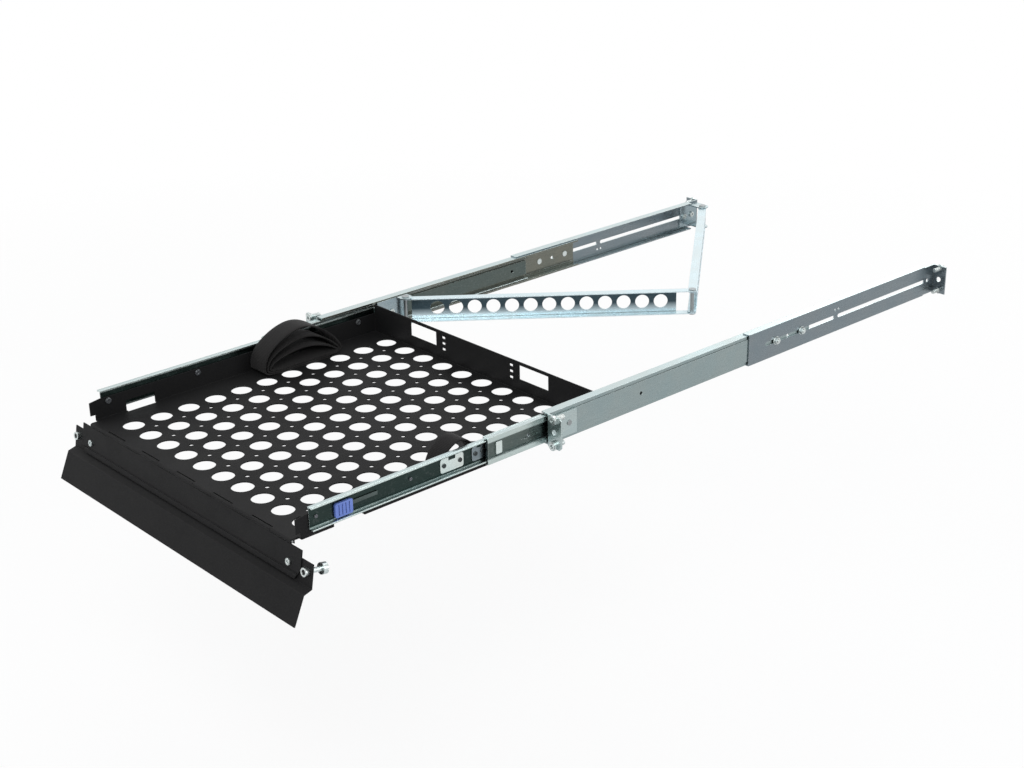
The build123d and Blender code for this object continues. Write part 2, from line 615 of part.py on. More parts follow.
# Brackets
def ear():
    """Front angle riveted to the slide, with the three rack holes of one unit."""
    arm = block((OUTER_X, OUTER_X + EAR_SHEET), (-EAR_SHEET, EAR_BRACKET_LENGTH), (-PANEL_HALF, PANEL_HALF))
    plate = block((OUTER_X, OUTER_X + EAR_OUT), (-EAR_SHEET, 0), (-EAR_HALF, EAR_HALF))
    outer = plate.edges().filter_by(Axis.Y).group_by(Axis.X)[-1]
    body = chamfer(outer, EAR_CORNER) + arm
    for z in (-HOLE_STEP, 0, HOLE_STEP):
        body -= rod("Y", (HOLE_X, z), (-EAR_SHEET - CUT, CUT), MOUNT_HOLE / 2)
    for y in FRONT_RIVETS:
        body -= rod("X", (y, 0), (OUTER_X - CUT, OUTER_X + EAR_SHEET + CUT), RIVET_RADIUS)
    return body


def front_rivets():
    """Rivets between the right ear and its slide."""
    inside = OUTER_X - OUTER_SHEET
    outside = OUTER_X + EAR_SHEET
    found = []
    for y in FRONT_RIVETS:
        body = rod("X", (y, 0), (inside, outside), RIVET_RADIUS)
        body += rod("X", (y, 0), (inside - RIVET_HEAD_HEIGHT, inside), RIVET_HEAD)
        body += rod("X", (y, 0), (outside, outside + RIVET_HEAD_HEIGHT), RIVET_HEAD)
        found.append(body)
    return found


def rear_bracket(pair_way):
    """Long slotted channel around the slide; pair_way puts the two small holes above or below the slot."""
    web_x = (OUTER_X, OUTER_X + REAR_SHEET)
    inside = OUTER_HALF + REAR_GAP
    tall = inside + REAR_SHEET
    half = rect(web_x, (0, tall)) + rect((web_x[1] - REAR_FLANGE_DEPTH, web_x[1]), (inside, tall))
    body = along_y(both(half), (BRACKET_FRONT, FLANGE_END))
    body += block(web_x, (FLANGE_END, RACK_DEPTH + REAR_SHEET), (-EAR_HALF, EAR_HALF))
    flange = block((web_x[0], OUTER_X + EAR_OUT), (RACK_DEPTH, RACK_DEPTH + REAR_SHEET), (-EAR_HALF, EAR_HALF))
    body += flange
    through = (web_x[0] - CUT, web_x[1] + CUT)
    body -= slot_cut(through, NEAR_SLOT, 0, SLOT_HEIGHT)
    body -= slot_cut(through, FAR_SLOT, 0, SLOT_HEIGHT)
    body -= rod("X", (END_HOLE_Y, 0), through, SLOT_HEIGHT / 2)
    for y in (PAIR_HOLE_Y, PAIR_HOLE_Y + PAIR_HOLE_PITCH):
        body -= rod("X", (y, pair_way * PAIR_HOLE_Z), through, PAIR_HOLE / 2)
    for z in (-HOLE_STEP, 0, HOLE_STEP):
        body -= rod("Y", (HOLE_X, z), (RACK_DEPTH - CUT, RACK_DEPTH + REAR_SHEET + CUT), MOUNT_HOLE / 2)
    return body


def bracket_bolts():
    """Bolts that clamp the right slide in its rear bracket."""
    seat = OUTER_X - OUTER_SHEET
    found = []
    for y in BOLT_PLACES:
        body = rod("X", (y, 0), (seat, seat + BOLT_LENGTH), BOLT_RADIUS)
        found.append(body + rod("X", (y, 0), (seat - BOLT_HEAD_HEIGHT, seat), BOLT_HEAD))
    return found


def bracket_nuts():
    """Washers and nuts of the right bolts."""
    face = OUTER_X + REAR_SHEET
    found = []
    for y in BOLT_PLACES:
        body = rod("X", (y, 0), (face, face + WASHER_SHEET), WASHER_RADIUS)
        hexagon = Pos(y, 0) * RegularPolygon(NUT_ACROSS / 2, NUT_SIDES, major_radius=False)
        end = face + WASHER_SHEET + NUT_HEIGHT
        body += along_x(hexagon, (face + WASHER_SHEET, end))
        body -= rod("X", (y, 0), (face - CUT, end + CUT), BOLT_RADIUS + FIXED_PLAY)
        found.append(body)
    return found


def rack_screws(face, sheet, way, thread):
    """The four screws through the sheet on one mounting face; way points from the face to the heads."""
    found = []
    for x in (-HOLE_X, HOLE_X):
        for z in (-HOLE_STEP, HOLE_STEP):
            seat = face + way * sheet
            neck = MOUNT_HOLE / 2 - SCREW_NECK_PLAY
            body = screw("Y", (x, z), seat, face, neck, RACK_SCREW_HEAD / 2, RACK_SCREW_HEAD_HEIGHT)
            found.append(body + rod("Y", (x, z), (face, face - way * THREAD_LENGTH), thread / 2))
    return found


def small_screw(y, seat, tip):
    """One of the low screws into an inner member."""
    return screw("X", (y, 0), seat, tip, WALL_SCREW_RADIUS, WALL_SCREW_HEAD, WALL_SCREW_HEAD_HEIGHT)


def wall_screws():
    """Screws from the inside of the right wall into the inner member."""
    seat = WALL_X - TRAY_SHEET
    return [small_screw(y, seat, seat + WALL_SCREW_LENGTH) for y in WALL_SCREWS]


# Flap, drawn hanging straight down from the hinge axis, then tilted forward to its stop
def hang(shape):
    """Carry a piece of the flap from the axis to its place on the tray."""
    return Pos(0, HINGE_Y, HINGE_Z) * Rot(-FLAP_TILT, 0, 0) * shape


def flap_face(points, width):
    """A sheet across the flap; the points are (ahead of, below) the hinge axis."""
    outline = make_face(Polyline(*[(-ahead, -down) for ahead, down in points], close=True))
    return along_x(outline, (-width / 2, width / 2))


def hinge_leaf():
    """Leaf of the hinge: knuckles, flat sheet and hemmed lower edge."""
    back = LEAF_AHEAD - LEAF_SHEET
    body = flap_face([(back, 0), (LEAF_AHEAD, 0), (LEAF_AHEAD, LEAF_LENGTH), (back, LEAF_LENGTH)], LEAF_WIDTH)
    start = HINGE_RADIUS + LEAF_GAP
    top = block((-LEAF_WIDTH, LEAF_WIDTH), THROUGH_FLAP, (-start, HINGE_RADIUS))
    for low, high in hinge_spans(1):
        top -= block((low, high), THROUGH_FLAP, (-start - CUT, HINGE_RADIUS + CUT))
    body -= top
    hem = (LEAF_LENGTH - HEM_HEIGHT, LEAF_LENGTH)
    front = LEAF_AHEAD + LEAF_SHEET
    hem_face = [(LEAF_AHEAD, hem[0]), (front, hem[0]), (front, hem[1]), (LEAF_AHEAD, hem[1])]
    body += flap_face(hem_face, LEAF_WIDTH)
    corner = Polyline(
        (LEAF_WIDTH / 2 - LEAF_CORNER_IN, -LEAF_LENGTH - CUT),
        (LEAF_WIDTH / 2 - LEAF_CORNER_IN, -LEAF_LENGTH),
        (LEAF_WIDTH / 2, -LEAF_LENGTH + LEAF_CORNER_UP),
        (LEAF_WIDTH / 2 + CUT, -LEAF_LENGTH + LEAF_CORNER_UP),
        (LEAF_WIDTH / 2 + CUT, -LEAF_LENGTH - CUT),
        close=True,
    )
    cut = along_y(make_face(corner), THROUGH_FLAP)
    body -= cut
    body -= to_left(cut)
    for span in hinge_spans(1):
        body += rod("X", (0, 0), span, HINGE_RADIUS)
    body -= rod("X", (0, 0), (-WALL_X, WALL_X), HINGE_PIN + HINGE_PIN_PLAY)
    for x in (-INNER_SCREW_X, INNER_SCREW_X):
        body -= rod("Y", (x, -FLAP_SCREW_DOWN), THROUGH_FLAP, FLAP_SCREW_SHANK + FIXED_PLAY)
    return hang(body)


def faceplate():
    """Wide plate with a forward step and a sloping lower band."""
    step = radians(STEP_ANGLE)
    lip = radians(LIP_ANGLE)
    ahead = FACE_AHEAD
    sheet = FACE_SHEET
    half = step / 2
    crease = (step + lip) / 2
    out1 = (ahead, BAND_LENGTH)
    out2 = (out1[0] + STEP_LENGTH * sin(step), out1[1] + STEP_LENGTH * cos(step))
    out3 = (out2[0] + LIP_LENGTH * sin(lip), out2[1] + LIP_LENGTH * cos(lip))
    deep1 = sheet / cos(half)
    deep2 = sheet / cos((step - lip) / 2)
    in1 = (out1[0] - deep1 * cos(half), out1[1] + deep1 * sin(half))
    in2 = (out2[0] - deep2 * cos(crease), out2[1] + deep2 * sin(crease))
    in3 = (out3[0] - sheet * cos(lip), out3[1] + sheet * sin(lip))
    points = [(ahead, BAND_START), out1, out2, out3, in3, in2, in1, (ahead - sheet, BAND_START)]
    body = flap_face(points, PANEL_WIDTH)
    for x in (-INNER_SCREW_X, INNER_SCREW_X):
        body -= rod("Y", (x, -FLAP_SCREW_DOWN), THROUGH_FLAP, FLAP_SCREW_SHANK + FIXED_PLAY)
    for x in (-HOLE_X, HOLE_X):
        body -= rod("Y", (x, -FLAP_SCREW_DOWN), THROUGH_FLAP, FERRULE_RADIUS)
    return hang(body)


def flap_screws():
    """Screws and nuts between the leaf and the faceplate."""
    seat = -LEAF_AHEAD
    back = -FACE_AHEAD + FACE_SHEET
    found = []
    for x in (-INNER_SCREW_X, INNER_SCREW_X):
        at = (x, -FLAP_SCREW_DOWN)
        tip = back + FLAP_NUT_HEIGHT + FLAP_SCREW_END
        body = screw("Y", at, seat, tip, FLAP_SCREW_SHANK, FLAP_SCREW_HEAD, FLAP_SCREW_HEIGHT)
        hexagon = Pos(*at) * RegularPolygon(FLAP_SCREW_HEAD, NUT_SIDES)
        body += along_y(hexagon, (back, back + FLAP_NUT_HEIGHT))
        found.append(hang(body))
    return found


def ferrule(x):
    """Round guide of a captive screw, pressed into the faceplate."""
    at = (x, -FLAP_SCREW_DOWN)
    front = -FACE_AHEAD - FERRULE_OUT
    back = -FACE_AHEAD + FACE_SHEET
    body = rod("Y", at, (front, back), FERRULE_RADIUS)
    body += rod("Y", at, (back, back + FERRULE_COLLAR_SHEET), FERRULE_COLLAR)
    body -= rod("Y", at, (front - CUT, back + FERRULE_COLLAR_SHEET + CUT), CAPTIVE_RADIUS + CAPTIVE_PLAY)
    return hang(body)


def captive_screw(x):
    """Thumb screw held in its guide, drawn pulled back."""
    at = (x, -FLAP_SCREW_DOWN)
    front = -FACE_AHEAD - FERRULE_OUT + CAPTIVE_TIP_IN
    head = -FACE_AHEAD + FACE_SHEET + FERRULE_COLLAR_SHEET + CAPTIVE_REACH + CAPTIVE_TIP_IN
    end = head + CAPTIVE_HEAD_HEIGHT
    body = rod("Y", at, (front, head), CAPTIVE_RADIUS)
    cap = rod("Y", at, (head, end), CAPTIVE_HEAD)
    slot_z = (at[1] - CAPTIVE_SLOT_WIDTH / 2, at[1] + CAPTIVE_SLOT_WIDTH / 2)
    cap -= block((x - 2 * CAPTIVE_HEAD, x + 2 * CAPTIVE_HEAD), (end - CAPTIVE_SLOT_DEPTH, end + CUT), slot_z)
    return hang(body + cap)


# Cable arm
def arm(half, web_way, holes_from_end):
    """One link drawn along +X from its pivot; web_way is the side of the web."""
    length = ARM_LENGTH
    side = ARM_DEPTH / 2
    flange = rect((0, length), (-side, side)) + disc(0, 0, side) + disc(length, 0, side)
    flange -= disc(0, 0, PIVOT_RADIUS + PIVOT_PLAY) + disc(length, 0, PIVOT_RADIUS + PIVOT_PLAY)
    body = extrude(Pos(0, 0, half - ARM_SHEET) * flange, amount=ARM_SHEET)
    body += extrude(Pos(0, 0, -half) * flange, amount=ARM_SHEET)
    start, stop = (ARM_WEB_START, length - ARM_WEB_CUT)
    if not holes_from_end:
        start, stop = (ARM_WEB_CUT, length - ARM_WEB_START)
    web_y = sorted((web_way * (side - ARM_SHEET), web_way * side))
    web = block((start, stop), web_y, (-half, half))
    for k in range(ARM_HOLE_COUNT):
        along = ARM_HOLE_FIRST + k * ARM_HOLE_PITCH
        x = length - along if holes_from_end else along
        web -= rod("Y", (x, 0), (-side - CUT, side + CUT), ARM_HOLE / 2)
    return body + web


def rear_arm():
    """Link on the rack, its web on the outside of the bend."""
    return Pos(ARM_PIVOT_X, REAR_PIVOT_Y, 0) * Rot(0, 0, ARM_ANGLE - 90) * arm(ARM_HALF_HEIGHT, 1, True)


def front_arm():
    """Link on the shelf, drawn from the elbow, its web on the inside of the bend."""
    return Pos(ELBOW_X, ELBOW_Y, 0) * Rot(0, 0, -90 - ARM_ANGLE) * arm(FRONT_ARM_HALF, -1, False)


def pivot(x, y, half):
    """A headed pin through both flanges."""
    body = rod("Z", (x, y), (-half, half), PIVOT_RADIUS)
    for way in (-1, 1):
        body += rod("Z", (x, y), (way * half, way * (half + PIVOT_HEAD_HEIGHT)), PIVOT_HEAD)
    return body


def fork(y, plate_y, half, plate_x, holes):
    """Bracket plate with a tab over and a tab under the end of a link."""
    sheet = ARM_BRACKET_SHEET
    top = half + ARM_GAP + sheet
    body = block(plate_x, plate_y, (-top, top))
    tab = rect((plate_x[0], ARM_PIVOT_X), (y - ARM_TAB_HALF, y + ARM_TAB_HALF))
    tab += disc(ARM_PIVOT_X, y, ARM_TAB_HALF)
    tab -= disc(ARM_PIVOT_X, y, PIVOT_RADIUS)
    body += extrude(Pos(0, 0, top - sheet) * tab, amount=sheet)
    body += extrude(Pos(0, 0, -top) * tab, amount=sheet)
    for place in holes:
        body -= rod("X", (place, 0), (plate_x[0] - CUT, plate_x[1] + CUT), BOLT_RADIUS + FIXED_PLAY)
    return body


def rear_fork():
    """Bracket of the cable arm on the left rear bracket."""
    plate_x = (-OUTER_X, -OUTER_X + ARM_BRACKET_SHEET)
    return fork(REAR_PIVOT_Y, REAR_PLATE, ARM_HALF_HEIGHT, plate_x, ARM_SCREWS)


def shelf_fork():
    """Bracket of the cable arm on the left inner member."""
    plate_x = (-WALL_X, -WALL_X + ARM_BRACKET_SHEET)
    return fork(SHELF_PIVOT_Y, SHELF_PLATE, FRONT_ARM_HALF, plate_x, SHELF_SCREWS)


def arm_screws():
    """Screws of the rear arm bracket, through the left rear bracket."""
    seat = -OUTER_X + ARM_BRACKET_SHEET
    found = []
    for y in ARM_SCREWS:
        body = screw("X", (y, 0), seat, seat - ARM_SCREW_LENGTH, BOLT_RADIUS, BOLT_HEAD, ARM_SCREW_HEAD_HEIGHT)
        hexagon = Pos(y, 0) * RegularPolygon(NUT_ACROSS / 2, NUT_SIDES, major_radius=False)
        face = -OUTER_X - REAR_SHEET
        found.append(body + along_x(hexagon, (face - NUT_HEIGHT, face)))
    return found


def shelf_screws():
    """Screws of the shelf arm bracket, into the left inner member."""
    seat = -WALL_X + ARM_BRACKET_SHEET
    return [small_screw(y, seat, seat - WALL_SCREW_LENGTH) for y in SHELF_SCREWS]


def shelf_pivot_studs():
    """Headed studs in the tabs of the shelf bracket."""
    low = FRONT_ARM_HALF + OPEN_PIVOT_GAP
    top = FRONT_ARM_HALF + ARM_GAP + ARM_BRACKET_SHEET
    found = []
    for way in (-1, 1):
        body = rod("Z", (ARM_PIVOT_X, SHELF_PIVOT_Y), (way * low, way * top), PIVOT_RADIUS)
        head = (way * top, way * (top + PIVOT_HEAD_HEIGHT))
        found.append(body + rod("Z", (ARM_PIVOT_X, SHELF_PIVOT_Y), head, PIVOT_HEAD))
    return found


def arm_end_pin():
    """Spacer pin inside the shelf end of the front link."""
    return rod("Z", (ARM_PIVOT_X, SHELF_PIVOT_Y), (-FRONT_ARM_HALF, FRONT_ARM_HALF), PIVOT_RADIUS)


# Straps
def strap(front, length, top, x):
    """A closed loop of tape standing on the floor."""
    low = FLOOR_Z + STRAP_LIFT
    outer = loop(front, length, low, top)
    inner = loop(front + STRAP_THICK, length - 2 * STRAP_THICK, low + STRAP_THICK, top - STRAP_THICK)
    return along_x(outer - inner, x)


def loop(front, length, low, top):
    """Rounded outline of a strap loop in Y and Z."""
    curve = Spline(*[(front + length * along, low + (top - low) * up) for along, up in LOOP_SHAPE])
    return make_face(curve + Line((front + length, low), (front, low)))


def left_strap():
    """Tall loop beside the left wall."""
    edge = -WALL_X + TRAY_SHEET + STRAP_WALL_GAP
    return strap(LEFT_LOOP_FRONT, LEFT_LOOP_LENGTH, LEFT_LOOP_TOP, (edge, edge + STRAP_WIDTH))


def right_strap():
    """Lower loop beside the right wall, with a loose tail on the floor."""
    edge = WALL_X - TRAY_SHEET - STRAP_WALL_GAP
    body = strap(RIGHT_LOOP_FRONT, RIGHT_LOOP_LENGTH, RIGHT_LOOP_TOP, (edge - STRAP_WIDTH, edge))
    loop_end = RIGHT_LOOP_FRONT + RIGHT_LOOP_LENGTH
    tail_y = (loop_end - STRAP_THICK, loop_end + TAIL_LENGTH)
    low = FLOOR_Z + STRAP_LIFT
    return body + block((edge - STRAP_WIDTH, edge), tail_y, (low, low + STRAP_THICK))


def group(pieces):
    """Several separate solids of one node."""
    return Compound(children=[piece.solid() if hasattr(piece, "solid") else piece for piece in pieces])


def pair(pieces):
    """The right hand pieces and their left hand copies, as one node."""
    return group(list(pieces) + [to_left(piece) for piece in pieces])


right = {
    "outer_member": outer_member(),
    "middle_member": middle_member(),
    "inner_member": inner_member(),
    "outer_cage": outer_cage(),
    "inner_cage": inner_cage(),
    "stop_block": stop_block(),
    "outer_balls": balls(OUTER_BALL_X, OUTER_BALL_Z, OUTER_CAGE_FRONT, OUTER_CAGE_LENGTH),
    "inner_balls": balls(INNER_BALL_X, INNER_BALL_Z, INNER_CAGE_FRONT, INNER_CAGE_LENGTH),
    "ear": ear(),
    "release_tab": release_tab(),
    "long_latch_plate": latch_plate(LONG_PLATE_START, LONG_PLATE_LENGTH, LONG_PLATE_NOTCH),
    "short_latch_plate": latch_plate(SHORT_PLATE_START, SHORT_PLATE_LENGTH, SHORT_PLATE_NOTCH),
    "front_rivets": front_rivets(),
    "bracket_bolts": bracket_bolts(),
    "bracket_nuts": bracket_nuts(),
    "wall_screws": wall_screws(),
    "latch_rivets": latch_rivets(),
}

nodes = {
    "tray": tray(),
    "hinge_pin": hinge_pin(),
    "hinge_leaf": hinge_leaf(),
    "faceplate": faceplate(),
    "flap_screws": group(flap_screws()),
    "ferrules": group([ferrule(-HOLE_X), ferrule(HOLE_X)]),
    "captive_screw_left": captive_screw(-HOLE_X),
    "captive_screw_right": captive_screw(HOLE_X),
    "rear_bracket_right": rear_bracket(1),
    "rear_bracket_left": to_left(rear_bracket(-1)),
    "rack_screws_front": group(rack_screws(0, EAR_SHEET, -1, FRONT_THREAD)),
    "rack_screws_rear": group(rack_screws(RACK_DEPTH, REAR_SHEET, 1, REAR_THREAD)),
    "rear_fork": rear_fork(),
    "arm_screws": group(arm_screws()),
    "rear_pivot_pin": pivot(ARM_PIVOT_X, REAR_PIVOT_Y, ARM_HALF_HEIGHT + ARM_GAP + ARM_BRACKET_SHEET),
    "rear_arm": rear_arm(),
    "front_arm": front_arm(),
    "elbow_pin": pivot(ELBOW_X, ELBOW_Y, FRONT_ARM_HALF),
    "arm_end_pin": arm_end_pin(),
    "shelf_fork": shelf_fork(),
    "shelf_screws": group(shelf_screws()),
    "shelf_pivot_studs": group(shelf_pivot_studs()),
    "strap_left": left_strap(),
    "strap_right": right_strap(),
}
for name, shape in right.items():
    if name in ("front_rivets", "bracket_bolts", "bracket_nuts", "wall_screws", "latch_rivets"):
        nodes[name] = pair(shape)
    elif isinstance(shape, list):
        nodes[name + "_right"] = group(shape)
        nodes[name + "_left"] = group([to_left(piece) for piece in shape])
    else:
        nodes[name + "_right"] = shape
        nodes[name + "_left"] = to_left(shape)

os.makedirs("parts", exist_ok=True)
for name, shape in nodes.items():
    export_step(shape, f"parts/{name}.step")
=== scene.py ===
"""Looks of the sliding rack shelf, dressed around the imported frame. Lengths are in metres, Z points up."""

import json
import logging
import math
from collections.abc import Callable, Sequence
from dataclasses import dataclass, field, replace
from enum import Enum

import bpy
from mathutils import Matrix, Vector

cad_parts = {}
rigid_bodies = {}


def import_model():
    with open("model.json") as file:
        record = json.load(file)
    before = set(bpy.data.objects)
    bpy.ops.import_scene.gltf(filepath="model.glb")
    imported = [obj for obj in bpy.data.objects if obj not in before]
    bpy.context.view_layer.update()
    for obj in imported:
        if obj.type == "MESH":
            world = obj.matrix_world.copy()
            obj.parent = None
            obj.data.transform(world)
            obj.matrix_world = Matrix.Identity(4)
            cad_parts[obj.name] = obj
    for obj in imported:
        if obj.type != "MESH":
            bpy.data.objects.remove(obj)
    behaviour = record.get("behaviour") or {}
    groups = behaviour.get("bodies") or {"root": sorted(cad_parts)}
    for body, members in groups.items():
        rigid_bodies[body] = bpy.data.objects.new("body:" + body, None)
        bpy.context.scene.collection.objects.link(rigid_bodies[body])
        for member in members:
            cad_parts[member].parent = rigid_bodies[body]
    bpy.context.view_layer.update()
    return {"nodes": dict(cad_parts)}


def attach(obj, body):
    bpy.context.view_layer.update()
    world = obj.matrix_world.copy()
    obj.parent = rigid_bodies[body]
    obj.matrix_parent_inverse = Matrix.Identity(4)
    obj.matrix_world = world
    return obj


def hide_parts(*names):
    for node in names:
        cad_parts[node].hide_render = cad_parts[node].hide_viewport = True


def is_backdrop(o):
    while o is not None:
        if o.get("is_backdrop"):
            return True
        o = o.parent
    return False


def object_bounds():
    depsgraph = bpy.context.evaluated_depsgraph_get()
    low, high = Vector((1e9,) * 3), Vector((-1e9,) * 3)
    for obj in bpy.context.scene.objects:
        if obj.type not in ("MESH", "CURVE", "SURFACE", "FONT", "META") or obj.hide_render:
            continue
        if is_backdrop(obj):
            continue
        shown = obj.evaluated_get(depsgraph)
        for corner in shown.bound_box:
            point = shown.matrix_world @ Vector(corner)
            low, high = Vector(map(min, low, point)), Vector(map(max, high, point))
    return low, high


LOG = logging.getLogger("rack_shelf")
MM = 0.001
Colour = tuple[float, float, float]
Place = tuple[float, float, float]
Socket = bpy.types.NodeSocket
SIDES = {"right": 1, "left": -1}
# Colour of the painted highlight along the edges of zinc plate
EDGE_HIGHLIGHT: Colour = (0.72, 0.78, 0.77)
# Colour of painted shade in recesses and in the dark of guides
HOLLOW_SHADE: Colour = (0.012, 0.013, 0.013)
DRAWN_LINES: Place = (900.0, 22.0, 900.0)
FLAT = 0.99      # a face is level where its normal's part along Z is larger
# A loop of tape as shares of its length and height, and the lap under it as shares of its length
LIMP_LOOP = ((0.0, 0.04), (0.0, 0.22), (0.02, 0.42), (0.09, 0.62), (0.2, 0.79), (0.34, 0.93), (0.5, 1.0),
             (0.65, 0.91), (0.78, 0.72), (0.88, 0.51), (0.96, 0.28), (1.0, 0.1))
LAP = (0.82, 0.6, 0.38, 0.15)


class Slot(Enum):
    """Material slots of the record."""

    BLACK = "black_paint"
    ZINC = "zinc_plate"
    BRIGHT = "bright_steel"
    PINS = "steel_pins"
    BLUE = "blue_plastic"
    TAPE = "strap_tape"


class NodePen:
    """Draws nodes and links in one node tree."""

    def __init__(self, tree: bpy.types.NodeTree) -> None:
        """Start on a tree.

        Args:
            tree: The node tree to draw in.
        """
        self.tree = tree

    def add(self, kind: str, **values: object) -> bpy.types.Node:
        """Add a node.

        Args:
            kind: Blender's name of the node type.
            values: Properties of the node.

        Returns:
            The new node.
        """
        node = self.tree.nodes.new(kind)
        for name, value in values.items():
            setattr(node, name, value)
        return node

    def put(self, socket: Socket, value: object) -> None:
        """Link an output to a socket, or set its value.

        Args:
            socket: The input socket.
            value: An output socket, a number or a colour.
        """
        if isinstance(value, Socket):
            self.tree.links.new(value, socket)
        elif isinstance(value, tuple) and len(value) == 3 and socket.type == "RGBA":
            socket.default_value = (*value, 1.0)
        else:
            socket.default_value = value

    def noise(self, vector: object, scale: object, detail: float, roughness: float = 0.5) -> Socket:
        """Add a noise texture.

        Args:
            vector: Where the texture is read.
            scale: Its scale.
            detail: Its number of octaves.
            roughness: How strong the fine octaves are.

        Returns:
            The noise value, from 0 to 1.
        """
        node = self.add("ShaderNodeTexNoise")
        self.put(node.inputs["Vector"], vector)
        self.put(node.inputs["Scale"], scale)
        node.inputs["Detail"].default_value = detail
        node.inputs["Roughness"].default_value = roughness
        return node.outputs["Fac"]

    def ramp(self, value: object, low: object, high: object, start: object, end: object) -> Socket:
        """Map a range of a value onto another range, clamped.

        Args:
            value: The value to map.
            low: Lower end of its range.
            high: Upper end of its range.
            start: Result at the lower end.
            end: Result at the upper end.

        Returns:
            The mapped value.
        """
        node = self.add("ShaderNodeMapRange")
        names = ("Value", "From Min", "From Max", "To Min", "To Max")
        for name, given in zip(names, (value, low, high, start, end)):
            self.put(node.inputs[name], given)
        return node.outputs["Result"]

    def math(self, what: str, *values: object) -> Socket:
        """Add a math node.

        Args:
            what: The operation.
            values: Its one or two inputs.

        Returns:
            Its result.
        """
        node = self.add("ShaderNodeMath", operation=what)
        for socket, value in zip(node.inputs, values):
            self.put(socket, value)
        return node.outputs[0]

    def mix(self, factor: object, first: object, second: object, blend: str = "MIX") -> Socket:
        """Mix two colours.

        Args:
            factor: 0 gives the first colour, 1 the second.
            first: The first colour.
            second: The second colour.
            blend: How they are mixed.

        Returns:
            The mixed colour.
        """
        node = self.add("ShaderNodeMix", data_type="RGBA", blend_type=blend)
        self.put(node.inputs["Factor"], factor)
        self.put(node.inputs[6], first)
        self.put(node.inputs[7], second)
        return node.outputs[2]

    def split(self, vector: object) -> bpy.types.NodeOutputs:
        """Split a vector into its parts.

        Args:
            vector: The vector.

        Returns:
            The outputs X, Y and Z.
        """
        node = self.add("ShaderNodeSeparateXYZ")
        self.put(node.inputs[0], vector)
        return node.outputs

    def stretch(self, vector: object, scale: Place) -> Socket:
        """Scale coordinates by three factors.

        Args:
            vector: The coordinates.
            scale: One factor for each axis.

        Returns:
            The scaled coordinates.
        """
        node = self.add("ShaderNodeMapping")
        self.put(node.inputs["Vector"], vector)
        node.inputs["Scale"].default_value = scale
        return node.outputs["Vector"]


class EffectGroup:
    """A shader node group with named inputs and outputs, built once."""

    def __init__(self, name: str, inputs: dict[str, object], outputs: dict[str, str]) -> None:
        """Make the empty group.

        Args:
            name: Name of the group.
            inputs: Names of its inputs, with their default values.
            outputs: Names of its outputs, with their socket types.
        """
        self.tree = bpy.data.node_groups.new(name, "ShaderNodeTree")
        self.pen = NodePen(self.tree)
        for label, value in inputs.items():
            kind = "NodeSocketColor" if isinstance(value, tuple) else "NodeSocketFloat"
            socket = self.tree.interface.new_socket(label, in_out="INPUT", socket_type=kind)
            socket.default_value = (*value, 1.0) if isinstance(value, tuple) else value
        for label, kind in outputs.items():
            self.tree.interface.new_socket(label, in_out="OUTPUT", socket_type=kind)
        self.source = self.pen.add("NodeGroupInput")
        self.sink = self.pen.add("NodeGroupOutput")
        places = self.pen.add("ShaderNodeTexCoord").outputs
        self.here, self.facing = places["Object"], places["Normal"]

    def given(self, label: str) -> Socket:
        """The value of an input inside the group."""
        return self.source.outputs[label]

    def give(self, label: str, value: object) -> None:
        """Connect a value to an output of the group."""
        self.pen.put(self.sink.inputs[label], value)


